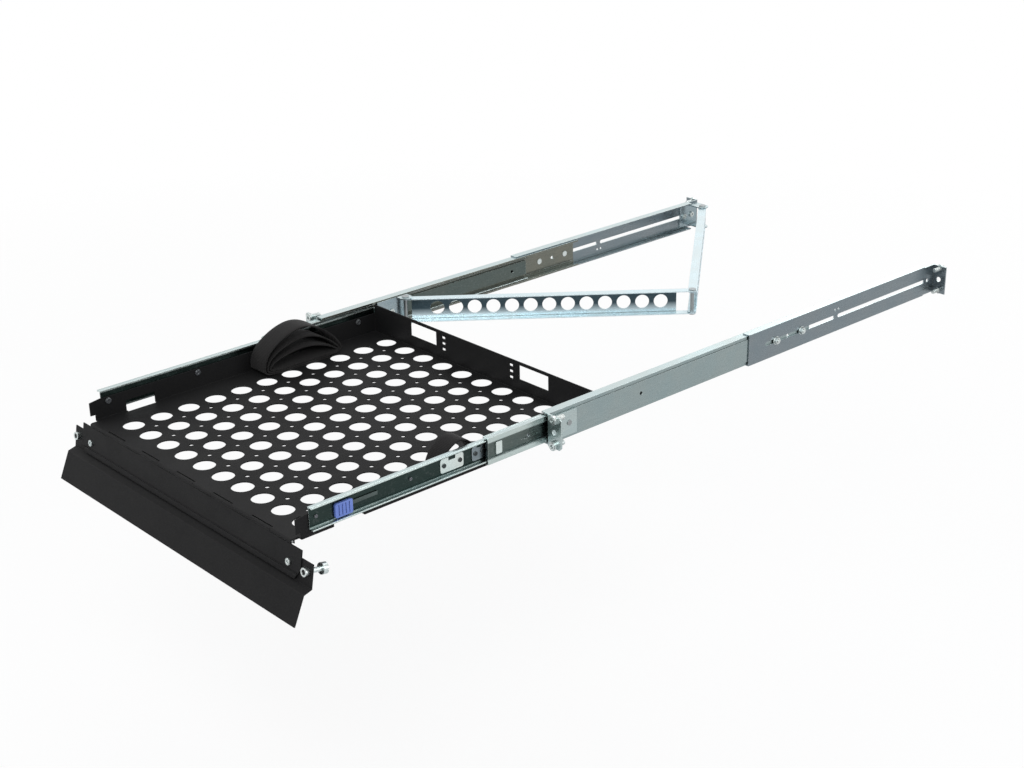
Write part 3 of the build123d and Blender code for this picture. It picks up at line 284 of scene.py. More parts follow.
class Effects:
    """The node groups that the finishes share. Their scales are per metre."""

    surface = {"Colour": "NodeSocketColor", "Roughness": "NodeSocketFloat", "Height": "NodeSocketFloat"}
    coat_grain: float = 1300.0
    coat_cloud: float = 14.0
    plate_cloud: float = 26.0
    plate_spots: float = 240.0
    spot_colour: Colour = (0.62, 0.66, 0.66)
    line_tint: Colour = (0.72, 0.76, 0.8)
    cloud_tint: Colour = (0.88, 0.96, 1.0)
    loop_scale: float = 900.0
    row_scale: float = 180.0
    row_share: float = 0.25
    smear_stretch: Place = (18.0, 7.0, 18.0)

    def __init__(self) -> None:
        """Build every group."""
        self.coat = self._powder_coat()
        self.plate = self._plating()
        self.soft_edge = self._soft_edge()
        self.weave = self._weave()
        self.handling = self._handling()
        self.hollow_shade = self._hollow_shade()

    def _powder_coat(self) -> bpy.types.NodeTree:
        """Fine pimpled paint.

        Returns:
            The node group.
        """
        inputs = {"Colour": (0.01, 0.01, 0.01), "Pale": (0.03, 0.03, 0.03), "Roughness": 0.45}
        group = EffectGroup("powder_coat", inputs, self.surface)
        pen = group.pen
        grain = pen.noise(group.here, self.coat_grain, 2.0, 0.6)
        cloud = pen.noise(group.here, self.coat_cloud, 3.0)
        light = pen.math("ADD", pen.ramp(grain, 0.42, 0.72, 0.0, 0.8), pen.ramp(cloud, 0.3, 0.7, 0.0, 0.2))
        group.give("Colour", pen.mix(light, group.given("Colour"), group.given("Pale")))
        uneven = pen.ramp(cloud, 0.3, 0.7, -0.05, 0.07)
        group.give("Roughness", pen.math("ADD", group.given("Roughness"), uneven))
        group.give("Height", grain)
        return group.tree

    def _plating(self) -> bpy.types.NodeTree:
        """Zinc plate on rolled sheet: drawn lines and clouds, with a painted highlight on faces that look up
        or down, painted shade and dark reflection across webs, and painted shade on inside faces.

        Returns:
            The node group.
        """
        inputs = {"Face": (0.3, 0.35, 0.35), "Lip": (0.6, 0.7, 0.67), "Web": (0.03, 0.04, 0.04),
                  "Inside": (0.2, 0.2, 0.18), "Inside Way": 0.0, "Web Low": 0.0, "Web High": 0.0,
                  "Low Fade": 1.0 * MM, "High Fade": 1.0 * MM, "Turn": 0.0, "Roughness": 0.3, "Bloom": 0.3}
        group = EffectGroup("rolled_plating", inputs, self.surface)
        pen = group.pen
        faces, high = pen.split(group.facing), pen.split(group.here)["Z"]
        # Painted highlight on faces that look up or down
        level_highlight = pen.ramp(pen.math("ABSOLUTE", faces["Z"]), 0.45, 0.85, 0.0, 1.0)
        # Painted shade on faces that look into the channel
        inside = pen.ramp(pen.math("MULTIPLY", faces["X"], group.given("Inside Way")), 0.5, 0.9, 0.0, 1.0)
        low, top = group.given("Web Low"), group.given("Web High")
        # Band of painted shade and dark reflection across the middle of the channel, between Web Low and Web
        # High
        painted_web_dark = pen.math("MULTIPLY",
                       pen.ramp(high, low, pen.math("ADD", low, group.given("Low Fade")), 0.0, 1.0),
                       pen.ramp(high, pen.math("SUBTRACT", top, group.given("High Fade")), top, 1.0, 0.0))
        # Painted shade inside, the painted dark band and the painted highlight, laid over the face colour
        plain = pen.mix(inside, group.given("Face"), group.given("Inside"))
        plain = pen.mix(level_highlight, pen.mix(painted_web_dark, plain, group.given("Web")), group.given("Lip"))
        turned = pen.add("ShaderNodeVectorRotate", rotation_type="Z_AXIS")
        pen.put(turned.inputs["Vector"], group.here)
        pen.put(turned.inputs["Angle"], group.given("Turn"))
        lines = pen.noise(pen.stretch(turned.outputs["Vector"], DRAWN_LINES), 1.0, 3.0, 0.6)
        cloud = pen.noise(group.here, self.plate_cloud, 4.0, 0.6)
        spots = pen.noise(group.here, self.plate_spots, 2.0)
        streak = pen.mix(pen.ramp(lines, 0.35, 0.7, 0.0, 0.35), plain, self.line_tint, "MULTIPLY")
        tinted = pen.mix(pen.ramp(cloud, 0.35, 0.68, 0.0, 0.7), streak, self.cloud_tint, "MULTIPLY")
        bloom = pen.math("MULTIPLY", pen.ramp(spots, 0.58, 0.72, 0.0, 1.0), group.given("Bloom"))
        group.give("Colour", pen.mix(bloom, tinted, pen.mix(0.3, plain, self.spot_colour)))
        rough = pen.math("ADD", group.given("Roughness"), pen.ramp(lines, 0.3, 0.7, -0.06, 0.08))
        rough = pen.math("ADD", rough, pen.ramp(cloud, 0.3, 0.7, -0.03, 0.07))
        group.give("Roughness", pen.math("ADD", rough, pen.math("MULTIPLY", bloom, 0.12)))
        group.give("Height", lines)
        return group.tree

    def _hollow_shade(self) -> bpy.types.NodeTree:
        """Mask for painted shade in sockets, slots and other recesses, from ambient occlusion.

        Returns:
            The node group.
        """
        group = EffectGroup("painted_hollow_shade", {"Reach": 2.0 * MM}, {"Mask": "NodeSocketFloat"})
        pen = group.pen
        shade = pen.add("ShaderNodeAmbientOcclusion", samples=6, only_local=True)
        pen.put(shade.inputs["Distance"], group.given("Reach"))
        group.give("Mask", pen.ramp(shade.outputs["AO"], 0.45, 0.8, 1.0, 0.0))
        return group.tree

    def _soft_edge(self) -> bpy.types.NodeTree:
        """Rounded look of edges, and a mask of where they are.

        Returns:
            The node group.
        """
        outputs = {"Normal": "NodeSocketVector", "Edge": "NodeSocketFloat"}
        group = EffectGroup("soft_edge", {"Radius": 0.4 * MM}, outputs)
        pen = group.pen
        bevel = pen.add("ShaderNodeBevel", samples=4)
        pen.put(bevel.inputs["Radius"], group.given("Radius"))
        flat = pen.add("ShaderNodeNewGeometry").outputs["Normal"]
        dot = pen.add("ShaderNodeVectorMath", operation="DOT_PRODUCT")
        pen.put(dot.inputs[0], bevel.outputs["Normal"])
        pen.put(dot.inputs[1], flat)
        group.give("Normal", bevel.outputs["Normal"])
        group.give("Edge", pen.ramp(dot.outputs["Value"], 0.985, 0.82, 0.0, 1.0))
        return group.tree

    def _weave(self) -> bpy.types.NodeTree:
        """Fuzzy loops of tape on its own UV map.

        Returns:
            The node group.
        """
        inputs = {"Colour": (0.01, 0.01, 0.01), "Fuzz": (0.05, 0.05, 0.055)}
        group = EffectGroup("tape_weave", inputs, self.surface)
        pen = group.pen
        flat = pen.add("ShaderNodeTexCoord").outputs["UV"]
        loops = pen.noise(flat, self.loop_scale, 3.0, 0.7)
        rows = pen.add("ShaderNodeTexWave", wave_type="BANDS", bands_direction="Y")
        pen.put(rows.inputs["Vector"], flat)
        rows.inputs["Scale"].default_value = self.row_scale
        rows.inputs["Distortion"].default_value = 1.5
        loop_part = pen.math("MULTIPLY", loops, 1.0 - self.row_share)
        both = pen.math("ADD", loop_part, pen.math("MULTIPLY", rows.outputs["Fac"], self.row_share))
        shown = pen.ramp(both, 0.35, 0.8, 0.0, 1.0)
        group.give("Colour", pen.mix(shown, group.given("Colour"), group.given("Fuzz")))
        group.give("Roughness", pen.ramp(loops, 0.3, 0.7, 0.75, 0.95))
        group.give("Height", both)
        return group.tree

    def _handling(self) -> bpy.types.NodeTree:
        """Faint smears and dust that make a surface a little duller in patches.

        Returns:
            The node group.
        """
        inputs = {"Roughness": 0.4, "Amount": 0.08}
        group = EffectGroup("handling_marks", inputs, {"Roughness": "NodeSocketFloat"})
        pen = group.pen
        smear = pen.noise(pen.stretch(group.here, self.smear_stretch), 1.0, 5.0, 0.65)
        extra = pen.math("MULTIPLY", pen.ramp(smear, 0.45, 0.75, 0.0, 1.0), group.given("Amount"))
        group.give("Roughness", pen.math("ADD", group.given("Roughness"), extra))
        return group.tree


@dataclass
class Coating:
    """A material in the making: a pen on its tree, its shader and the shared effects."""

    pen: NodePen
    shader: bpy.types.Node
    effects: Effects

    def put(self, label: str, value: object) -> None:
        """Link an output to an input of the shader, or set its value there."""
        self.pen.put(self.shader.inputs[label], value)

    def place(self, tree: bpy.types.NodeTree, **values: object) -> bpy.types.NodeOutputs:
        """Place a shared effect.

        Args:
            tree: The node group.
            values: Values of its inputs, with _ for a space in their names.

        Returns:
            The outputs of the effect.
        """
        node = self.pen.add("ShaderNodeGroup", node_tree=tree)
        for label, value in values.items():
            self.pen.put(node.inputs[label.replace("_", " ")], value)
        return node.outputs

    def smear(self, roughness: object, amount: float) -> None:
        """Give the shader a roughness with smears.

        Args:
            roughness: The clean roughness.
            amount: How much rougher a smear is.
        """
        marks = self.place(self.effects.handling, Roughness=roughness, Amount=amount)
        self.put("Roughness", marks["Roughness"])

    def bump(self, height: Socket, normal: Socket, strength: float, depth: float) -> None:
        """Give the shader a normal with bumps.

        Args:
            height: The height of the bumps.
            normal: The normal below them.
            strength: How strong they are.
            depth: How deep they are.
        """
        node = self.pen.add("ShaderNodeBump")
        given = {"Strength": strength, "Distance": depth, "Height": height, "Normal": normal}
        for label, value in given.items():
            self.pen.put(node.inputs[label], value)
        self.put("Normal", node.outputs["Normal"])


@dataclass(frozen=True)
class Finish:
    """What every finish has in common: its smears, and how strong and deep its bumps are."""

    name: str
    slot: Slot
    smears: float = 0.1
    bumps: float = 0.35
    depth: float = 0.12 * MM

    def build(self, effects: Effects) -> bpy.types.Material:
        """Build the material.

        Args:
            effects: The shared node groups.

        Returns:
            The material.
        """
        material = bpy.data.materials.new(self.name)
        material.use_nodes = True
        shader = next(node for node in material.node_tree.nodes if node.type == "BSDF_PRINCIPLED")
        self.paint(Coating(NodePen(material.node_tree), shader, effects))
        return material

    def paint(self, coating: Coating) -> None:
        """Connect the shader, each finish in its own way.

        Args:
            coating: The material in the making.
        """
        raise NotImplementedError


@dataclass(frozen=True)
class PowderCoat(Finish):
    """Black baked paint with a fine grain."""

    colour: Colour = (0.006, 0.006, 0.0065)
    pale: Colour = (0.022, 0.022, 0.022)
    # colour of the painted highlight along the edges
    edge_lit: Colour = (0.06, 0.06, 0.062)
    roughness: float = 0.5
    gloss: float = 0.08
    edge: float = 0.6 * MM
    edge_lit_share: float = 0.4

    def paint(self, coating: Coating) -> None:
        """Lay the coat, with a painted highlight along its edges.

        Args:
            coating: The material in the making.
        """
        pen, effects = coating.pen, coating.effects
        coat = coating.place(effects.coat, Colour=self.colour, Pale=self.pale, Roughness=self.roughness)
        edge = coating.place(effects.soft_edge, Radius=self.edge)
        # Painted highlight along the edges
        edge_lit = pen.math("MULTIPLY", edge["Edge"], self.edge_lit_share)
        coating.put("Base Color", pen.mix(edge_lit, coat["Colour"], self.edge_lit))
        coating.put("Specular IOR Level", self.gloss)
        coating.smear(coat["Roughness"], self.smears)
        coating.bump(coat["Height"], edge["Normal"], self.bumps, self.depth)


@dataclass(frozen=True)
class ZincPlate(Finish):
    """Clear zinc plate on rolled steel."""

    face: Colour = (0.21, 0.24, 0.255)
    # painted highlight on faces that look up or down
    level_highlight: Colour = (0.6, 0.68, 0.67)
    # painted shade and dark reflection across webs
    painted_web_dark: Colour = (0.03, 0.045, 0.042)
    # painted shade on faces inside the channel, on the side that inside_way gives
    inside: Colour = (0.21, 0.24, 0.255)
    inside_way: float = 0.0
    # where the band of painted shade and dark reflection lies along Z, and how it fades
    web_span: tuple[float, float] = (0.0, 0.0)
    web_fade: tuple[float, float] = (1.0 * MM, 1.0 * MM)
    turn: float = 0.0
    roughness: float = 0.26
    bloom: float = 0.12
    smears: float = 0.07
    bumps: float = 0.08
    depth: float = 0.05 * MM
    edge: float = 0.5 * MM
    # strength of the painted highlight along the edges
    edge_highlight: float = 0.55
    # strength of the painted shade in recesses
    hollow_shade_share: float = 0.85
    tip_ahead: float | None = None      # ahead of this place along Y the colour is painted shade

    def paint(self, coating: Coating) -> None:
        """Lay the plate, with a painted highlight along its edges and painted shade in its hollows.

        Args:
            coating: The material in the making.
        """
        pen, effects = coating.pen, coating.effects
        (low, high), (low_fade, high_fade) = self.web_span, self.web_fade
        plate = coating.place(effects.plate, Face=self.face, Lip=self.level_highlight, Web=self.painted_web_dark, Inside=self.inside,
                              Inside_Way=self.inside_way, Web_Low=low, Web_High=high, Low_Fade=low_fade,
                              High_Fade=high_fade, Turn=self.turn, Roughness=self.roughness, Bloom=self.bloom)
        edge = coating.place(effects.soft_edge, Radius=self.edge)
        hollow_shade = coating.place(effects.hollow_shade, Reach=self.edge * 4)
        # Painted highlight along the edges, then painted shade in recesses
        highlight_share = pen.math("MULTIPLY", edge["Edge"], self.edge_highlight)
        colour = pen.mix(highlight_share, plate["Colour"], EDGE_HIGHLIGHT)
        colour = pen.mix(pen.math("MULTIPLY", hollow_shade["Mask"], self.hollow_shade_share), colour, HOLLOW_SHADE)
        # Painted shade over the screw ahead of tip_ahead, inside its guide
        if self.tip_ahead is not None:
            along = pen.split(pen.add("ShaderNodeTexCoord").outputs["Object"])["Y"]
            tip = pen.ramp(along, self.tip_ahead, self.tip_ahead + self.edge, 1.0, 0.0)
            colour = pen.mix(tip, colour, HOLLOW_SHADE)
        coating.put("Base Color", colour)
        coating.put("Metallic", 1.0)
        coating.smear(plate["Roughness"], self.smears)
        coating.bump(plate["Height"], edge["Normal"], self.bumps, self.depth)


@dataclass(frozen=True)
class MouldedTab(Finish):
    """Coloured grip from a lightly textured mould, on a steel blade."""

    colour: Colour = (0.10, 0.17, 0.52)
    # paler tone of the plastic, also used as the painted highlight along the edges
    pale: Colour = (0.2, 0.29, 0.66)
    # colour of the painted shade in recesses
    shade_in_hollows: Colour = (0.03, 0.05, 0.2)
    blade: Colour = (0.06, 0.075, 0.072)
    blade_from: float = 0.0
    blade_blend: float = 0.2 * MM
    roughness: float = 0.4
    smears: float = 0.12
    bumps: float = 0.2
    depth: float = 0.06 * MM
    edge: float = 0.5 * MM
    # strength of the painted shade in recesses
    hollow_shade_share: float = 0.6
    grain_scale: float = 2600.0
    cloud_scale: float = 60.0

    def paint(self, coating: Coating) -> None:
        """Mould the grip with a painted highlight along its edges and painted shade in its hollows, and draw
        the blade behind it.

        Args:
            coating: The material in the making.
        """
        pen, effects = coating.pen, coating.effects
        here = pen.add("ShaderNodeTexCoord").outputs["Object"]
        grain = pen.noise(here, self.grain_scale, 2.0)
        cloud = pen.noise(here, self.cloud_scale, 2.0)
        steel = pen.ramp(pen.split(here)["Y"], self.blade_from, self.blade_from + self.blade_blend, 0.0, 1.0)
        edge = coating.place(effects.soft_edge, Radius=self.edge)
        hollow_shade = coating.place(effects.hollow_shade, Reach=self.edge * 3)
        plastic = pen.mix(pen.ramp(cloud, 0.3, 0.7, 0.0, 0.35), self.colour, self.pale)
        # Painted highlight along the edges
        plastic = pen.mix(edge["Edge"], plastic, self.pale)
        # Painted shade in recesses
        plastic = pen.mix(pen.math("MULTIPLY", hollow_shade["Mask"], self.hollow_shade_share), plastic, self.shade_in_hollows)
        drawn = pen.noise(pen.stretch(here, DRAWN_LINES), 1.0, 3.0)
        bright = tuple(2 * value for value in self.blade)
        metal = pen.mix(pen.ramp(drawn, 0.35, 0.7, 0.0, 1.0), self.blade, bright)
        coating.put("Base Color", pen.mix(steel, plastic, metal))
        coating.put("Metallic", steel)
        coating.smear(self.roughness, self.smears)
        coating.bump(grain, edge["Normal"], self.bumps, self.depth)


@dataclass(frozen=True)
class StrapTape(Finish):
    """Black hook and loop tape."""

    colour: Colour = (0.007, 0.007, 0.0075)
    fuzz: Colour = (0.034, 0.032, 0.031)
    bumps: float = 0.6
    depth: float = 0.4 * MM
    gloss: float = 0.1
    sheen: float = 0.06
    sheen_rough: float = 0.5

    def paint(self, coating: Coating) -> None:
        """Weave the tape.

        Args:
            coating: The material in the making.
        """
        weave = coating.place(coating.effects.weave, Colour=self.colour, Fuzz=self.fuzz)
        flat = coating.pen.add("ShaderNodeNewGeometry").outputs["Normal"]
        coating.put("Base Color", weave["Colour"])
        coating.put("Roughness", weave["Roughness"])
        coating.put("Specular IOR Level", self.gloss)
        coating.put("Sheen Weight", self.sheen)
        coating.put("Sheen Roughness", self.sheen_rough)
        coating.bump(weave["Height"], flat, self.bumps, self.depth)


class Bench:
    """Mesh work with operators, as by hand."""

    @staticmethod
    def clear() -> None:
        """Deselect every object."""
        for thing in bpy.context.view_layer.objects:
            thing.select_set(False)

    @staticmethod
    def take(piece: bpy.types.Object) -> None:
        """Make one object the only selected and active one.

        Args:
            piece: The object.
        """
        Bench.clear()
        piece.select_set(True)
        bpy.context.view_layer.objects.active = piece

    @staticmethod
    def named(name: str) -> bpy.types.Object:
        """Name the primitive that was just added.

        Args:
            name: Its name.

        Returns:
            The object.
        """
        piece = bpy.context.object
        piece.name = name
        piece.data.name = name
        return piece

    @staticmethod
    def settle(piece: bpy.types.Object) -> None:
        """Put place, turn and scale into the mesh.

        Args:
            piece: The object.
        """
        Bench.take(piece)
        bpy.ops.object.transform_apply(location=True, rotation=True, scale=True)

    @staticmethod
    def pick_edges(piece: bpy.types.Object, wanted: Callable[[Vector], bool]) -> None:
        """Select the vertices that pass a test, and what lies between them, and stay in edit mode.

        Args:
            piece: The object, in object mode.
            wanted: Test on a vertex place.
        """
        Bench.take(piece)
        bpy.ops.object.mode_set(mode="EDIT")
        bpy.ops.mesh.select_mode(type="VERT")
        bpy.ops.mesh.select_all(action="DESELECT")
        bpy.ops.object.mode_set(mode="OBJECT")
        for vertex in piece.data.vertices:
            vertex.select = wanted(vertex.co)
        bpy.ops.object.mode_set(mode="EDIT")
        bpy.ops.mesh.select_mode(type="EDGE")

    @staticmethod
    def pick_faces(piece: bpy.types.Object, wanted: Callable[[bpy.types.MeshPolygon], bool]) -> None:
        """Select the faces that pass a test and stay in edit mode.

        Args:
            piece: The object, in object mode.
            wanted: Test on a face.
        """
        Bench.pick_edges(piece, lambda place: False)
        bpy.ops.mesh.select_mode(type="FACE")
        bpy.ops.object.mode_set(mode="OBJECT")
        for face in piece.data.polygons:
            face.select = wanted(face)
        bpy.ops.object.mode_set(mode="EDIT")

    @staticmethod
    def score(piece: bpy.types.Object, place: Place, way: Place) -> None:
        """Part every face that a plane crosses.

        Args:
            piece: The object, in object mode.
            place: A point of the plane.
            way: The direction square to the plane.
        """
        Bench.pick_edges(piece, lambda spot: True)
        bpy.ops.mesh.bisect(plane_co=place, plane_no=way)
        bpy.ops.object.mode_set(mode="OBJECT")

    @staticmethod
    def draw_out(step: Place) -> None:
        """Extrude what is selected in edit mode by a step."""
        bpy.ops.mesh.extrude_region_move(TRANSFORM_OT_translate={"value": step})

    @staticmethod
    def modify(piece: bpy.types.Object, kind: str, **values: object) -> None:
        """Add a modifier and apply it.

        Args:
            piece: The object.
            kind: Type of the modifier.
            values: Its settings.
        """
        Bench.take(piece)
        modifier = piece.modifiers.new(kind.lower(), kind)
        for name, value in values.items():
            setattr(modifier, name, value)
        bpy.ops.object.modifier_apply(modifier=modifier.name)

    @staticmethod
    def smooth(piece: bpy.types.Object, angle: float = 35.0) -> None:
        """Shade smooth where faces meet at a small angle.

        Args:
            piece: The object.
            angle: The largest such angle in degrees.
        """
        Bench.take(piece)
        bpy.ops.object.shade_smooth_by_angle(angle=math.radians(angle))


@dataclass
class Wardrobe:
    """The finishes of the shelf, as materials."""

    effects: Effects
    materials: dict[str, bpy.types.Material] = field(default_factory=dict)

    def hang(self, finish: Finish) -> bpy.types.Material:
        """Build a finish once and keep it.

        Args:
            finish: The finish.

        Returns:
            Its material.
        """
        if finish.name not in self.materials:
            self.materials[finish.name] = finish.build(self.effects)
        return self.materials[finish.name]

    def dress(self, node: bpy.types.Object, finish: Finish) -> None:
        """Give a node a finish.

        Args:
            node: The node's object.
            finish: The finish.
        """
        material = self.hang(finish)
        if not node.material_slots:
            node.data.materials.append(material)
        for slot in node.material_slots:
            slot.material = material


BLACK_PAINT = PowderCoat("black powder coat", Slot.BLACK)
SHEET_ZINC = ZincPlate("zinc plated sheet", Slot.ZINC)
SCREW_ZINC = ZincPlate("bright plated screw", Slot.BRIGHT, face=(0.62, 0.65, 0.63), level_highlight=(0.62, 0.65, 0.63),
                       roughness=0.24, bloom=0.1, edge=0.35 * MM)
DULL_SCREW = ZincPlate("dull plated screw", Slot.BRIGHT, face=(0.12, 0.12, 0.13), level_highlight=(0.12, 0.12, 0.13),
                       roughness=0.4, bloom=0.1, edge=0.35 * MM)
PLAIN_STEEL = ZincPlate("plain steel pin", Slot.PINS, face=(0.3, 0.31, 0.31), level_highlight=(0.4, 0.41, 0.41),
                        roughness=0.3, bloom=0.1, edge=0.3 * MM)
BLACK_TAPE = StrapTape("black strap tape", Slot.TAPE)


@dataclass
class SubAssembly:
    """A group of frame nodes that belong together."""

    wardrobe: Wardrobe
    nodes: dict[str, bpy.types.Object]

    def finishes(self) -> dict[str, Finish]:
        """The finish of each node of the group."""
        return {}

    def build(self) -> None:
        """Give every node of the group its finish, and make the pieces that the frame lacks."""
        for name, finish in self.finishes().items():
            self.wardrobe.dress(self.nodes[name], finish)
            LOG.info("dressed %s as %s", name, finish.name)
        self.add_pieces()

    def add_pieces(self) -> None:
        """Make new pieces; a group without any adds none."""


def both_sides(names: Sequence[str], finish: Callable[[str, int], Finish]) -> dict[str, Finish]:
    """Finishes of nodes that are there on both sides.

    Args:
        names: Node names without their side.
        finish: Gives the finish for a side and its sign along X.

    Returns:
        The finish of each node.
    """
    return {f"{name}_{side}": finish(side, sign) for name in names for side, sign in SIDES.items()}


@dataclass
class Strap:
    """A band of hook and loop tape, made new over its plain solid. Its route is points as Y and Z."""

    wardrobe: Wardrobe
    node: str
    body: str
    route: Sequence[Vector]
    across: tuple[float, float]
    thickness: float = 1.6 * MM
    rounding: float = 0.35 * MM
    near: float = 0.001 * MM

    def make(self) -> bpy.types.Object:
        """Model the band by extruding its edge along its route.

        Returns:
            The finished piece.
        """
        low, high = self.across
        first, second = self.route[:2]
        Bench.clear()
        bpy.ops.mesh.primitive_plane_add(size=1.0, location=((low + high) / 2, 0.0, 0.0))
        band = Bench.named(self.node + "_tape")
        corners = [Vector((x, *point)) for point in (first, second) for x in (low, high)]
        for vertex, corner in zip(band.data.vertices, corners):
            vertex.co = corner - band.location
        Bench.settle(band)
        Bench.pick_edges(band, lambda corner: (corner.yz - second).length < self.near)
        for here, there in zip(self.route[1:], self.route[2:]):
            Bench.draw_out((0.0, *(there - here)))
        bpy.ops.mesh.select_all(action="SELECT")
        bpy.ops.mesh.normals_make_consistent(inside=False)
        bpy.ops.object.mode_set(mode="OBJECT")
        self._map_tape(band)
        Bench.modify(band, "SUBSURF", levels=2, render_levels=2, boundary_smooth="PRESERVE_CORNERS")
        Bench.modify(band, "SOLIDIFY", thickness=self.thickness, offset=0.0, use_even_offset=True)
        Bench.modify(band, "BEVEL", width=self.rounding, segments=2, limit_method="ANGLE",
                     angle_limit=math.radians(50))
        Bench.smooth(band, 50.0)
        band.data.materials.clear()
        band.data.materials.append(self.wardrobe.hang(BLACK_TAPE))
        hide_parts(self.node)
        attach(band, self.body)
        LOG.info("made %s", band.name)
        return band

    def _map_tape(self, band: bpy.types.Object) -> None:
        """Lay a UV map in metres along the tape.

        Args:
            band: The band, before its thickness.
        """
        run = [0.0]
        for before, after in zip(self.route, self.route[1:]):
            run.append(run[-1] + (after - before).length)
        layer = band.data.uv_layers[0] if band.data.uv_layers else band.data.uv_layers.new(name="tape")
        for face in band.data.polygons:
            for corner in face.loop_indices:
                place = band.data.vertices[band.data.loops[corner].vertex_index].co
                nearest = min(range(len(run)), key=lambda index: (place.yz - self.route[index]).length)
                layer.data[corner].uv = (place.x, run[nearest])


@dataclass
class TrayGroup(SubAssembly):
    """Tray, wall screws, hinge wire and the two straps on the floor. Sizes of the straps in millimetres."""

    floor: float = -19.0
    layer: float = 2.3      # rise of the tape from one lap to the next
    inset: float = 4.0      # each loop is this much shorter at both ends than the one round it
    near_wall: float = 205.2
    left_edge: float = 172.5
    left_front: float = -117.5
    left_length: float = 122.0
    left_crowns: tuple[float, ...] = (34.0, 20.0, 6.0)      # height of each loop
    right_edge: float = 180.2
    right_front: float = -149.5
    right_length: float = 63.5
    right_crowns: tuple[float, ...] = (20.0,)
    tail_end: float = -9.0      # back end of the loose tail
    tail_step: float = 26.0

    def finishes(self) -> dict[str, Finish]:
        """Choose the finishes.

        Returns:
            The finish of each node of the group.
        """
        return {"tray": BLACK_PAINT, "wall_screws": DULL_SCREW, "hinge_pin": PLAIN_STEEL,
                "strap_left": BLACK_TAPE, "strap_right": BLACK_TAPE}

    def add_pieces(self) -> None:
        """Make both straps."""
        left = self._coil(self.left_front, self.left_length, self.left_crowns)
        tail = [(self.tail_end - step * self.tail_step, self.floor) for step in range(3)]
        right = tail + self._coil(self.right_front, self.right_length, self.right_crowns)
        right += self._lap(self.right_front, self.right_length, 1)
        self._strap("strap_left", left, (-self.near_wall, -self.left_edge))
        self._strap("strap_right", right, (self.right_edge, self.near_wall))

    def _strap(self, node: str, route: Sequence[tuple[float, float]], across: tuple[float, float]) -> None:
        """Make one strap from sizes in millimetres.

        Args:
            node: Its node.
            route: Points as Y and Z.
            across: Its two edges along X.
        """
        low, high = across
        points = [Vector((along * MM, up * MM)) for along, up in route]
        Strap(self.wardrobe, node, "shelf", points, (low * MM, high * MM)).make()

    def _lap(self, front: float, length: float, turn: int) -> list[tuple[float, float]]:
        """Stretch of tape on the floor, from the back to the front."""
        return [(front + length * share, self.floor + self.layer * turn) for share in LAP]

    def _coil(self, front: float, length: float, crowns: Sequence[float]) -> list[tuple[float, float]]:
        """Route of a strap rolled into standing loops, one inside the other.

        Args:
            front: Front end of the outer loop along Y.
            length: Its length along Y.
            crowns: Height of the crown of each loop.

        Returns:
            Points as Y and Z.
        """
        route: list[tuple[float, float]] = []
        for turn, crown in enumerate(crowns):
            start, span = front + self.inset * turn, length - 2 * self.inset * turn
            low = self.floor + self.layer * turn
            route += self._lap(start, span, turn)
            route += [(start + span * along, low + (crown - low) * up) for along, up in LIMP_LOOP]
        return route


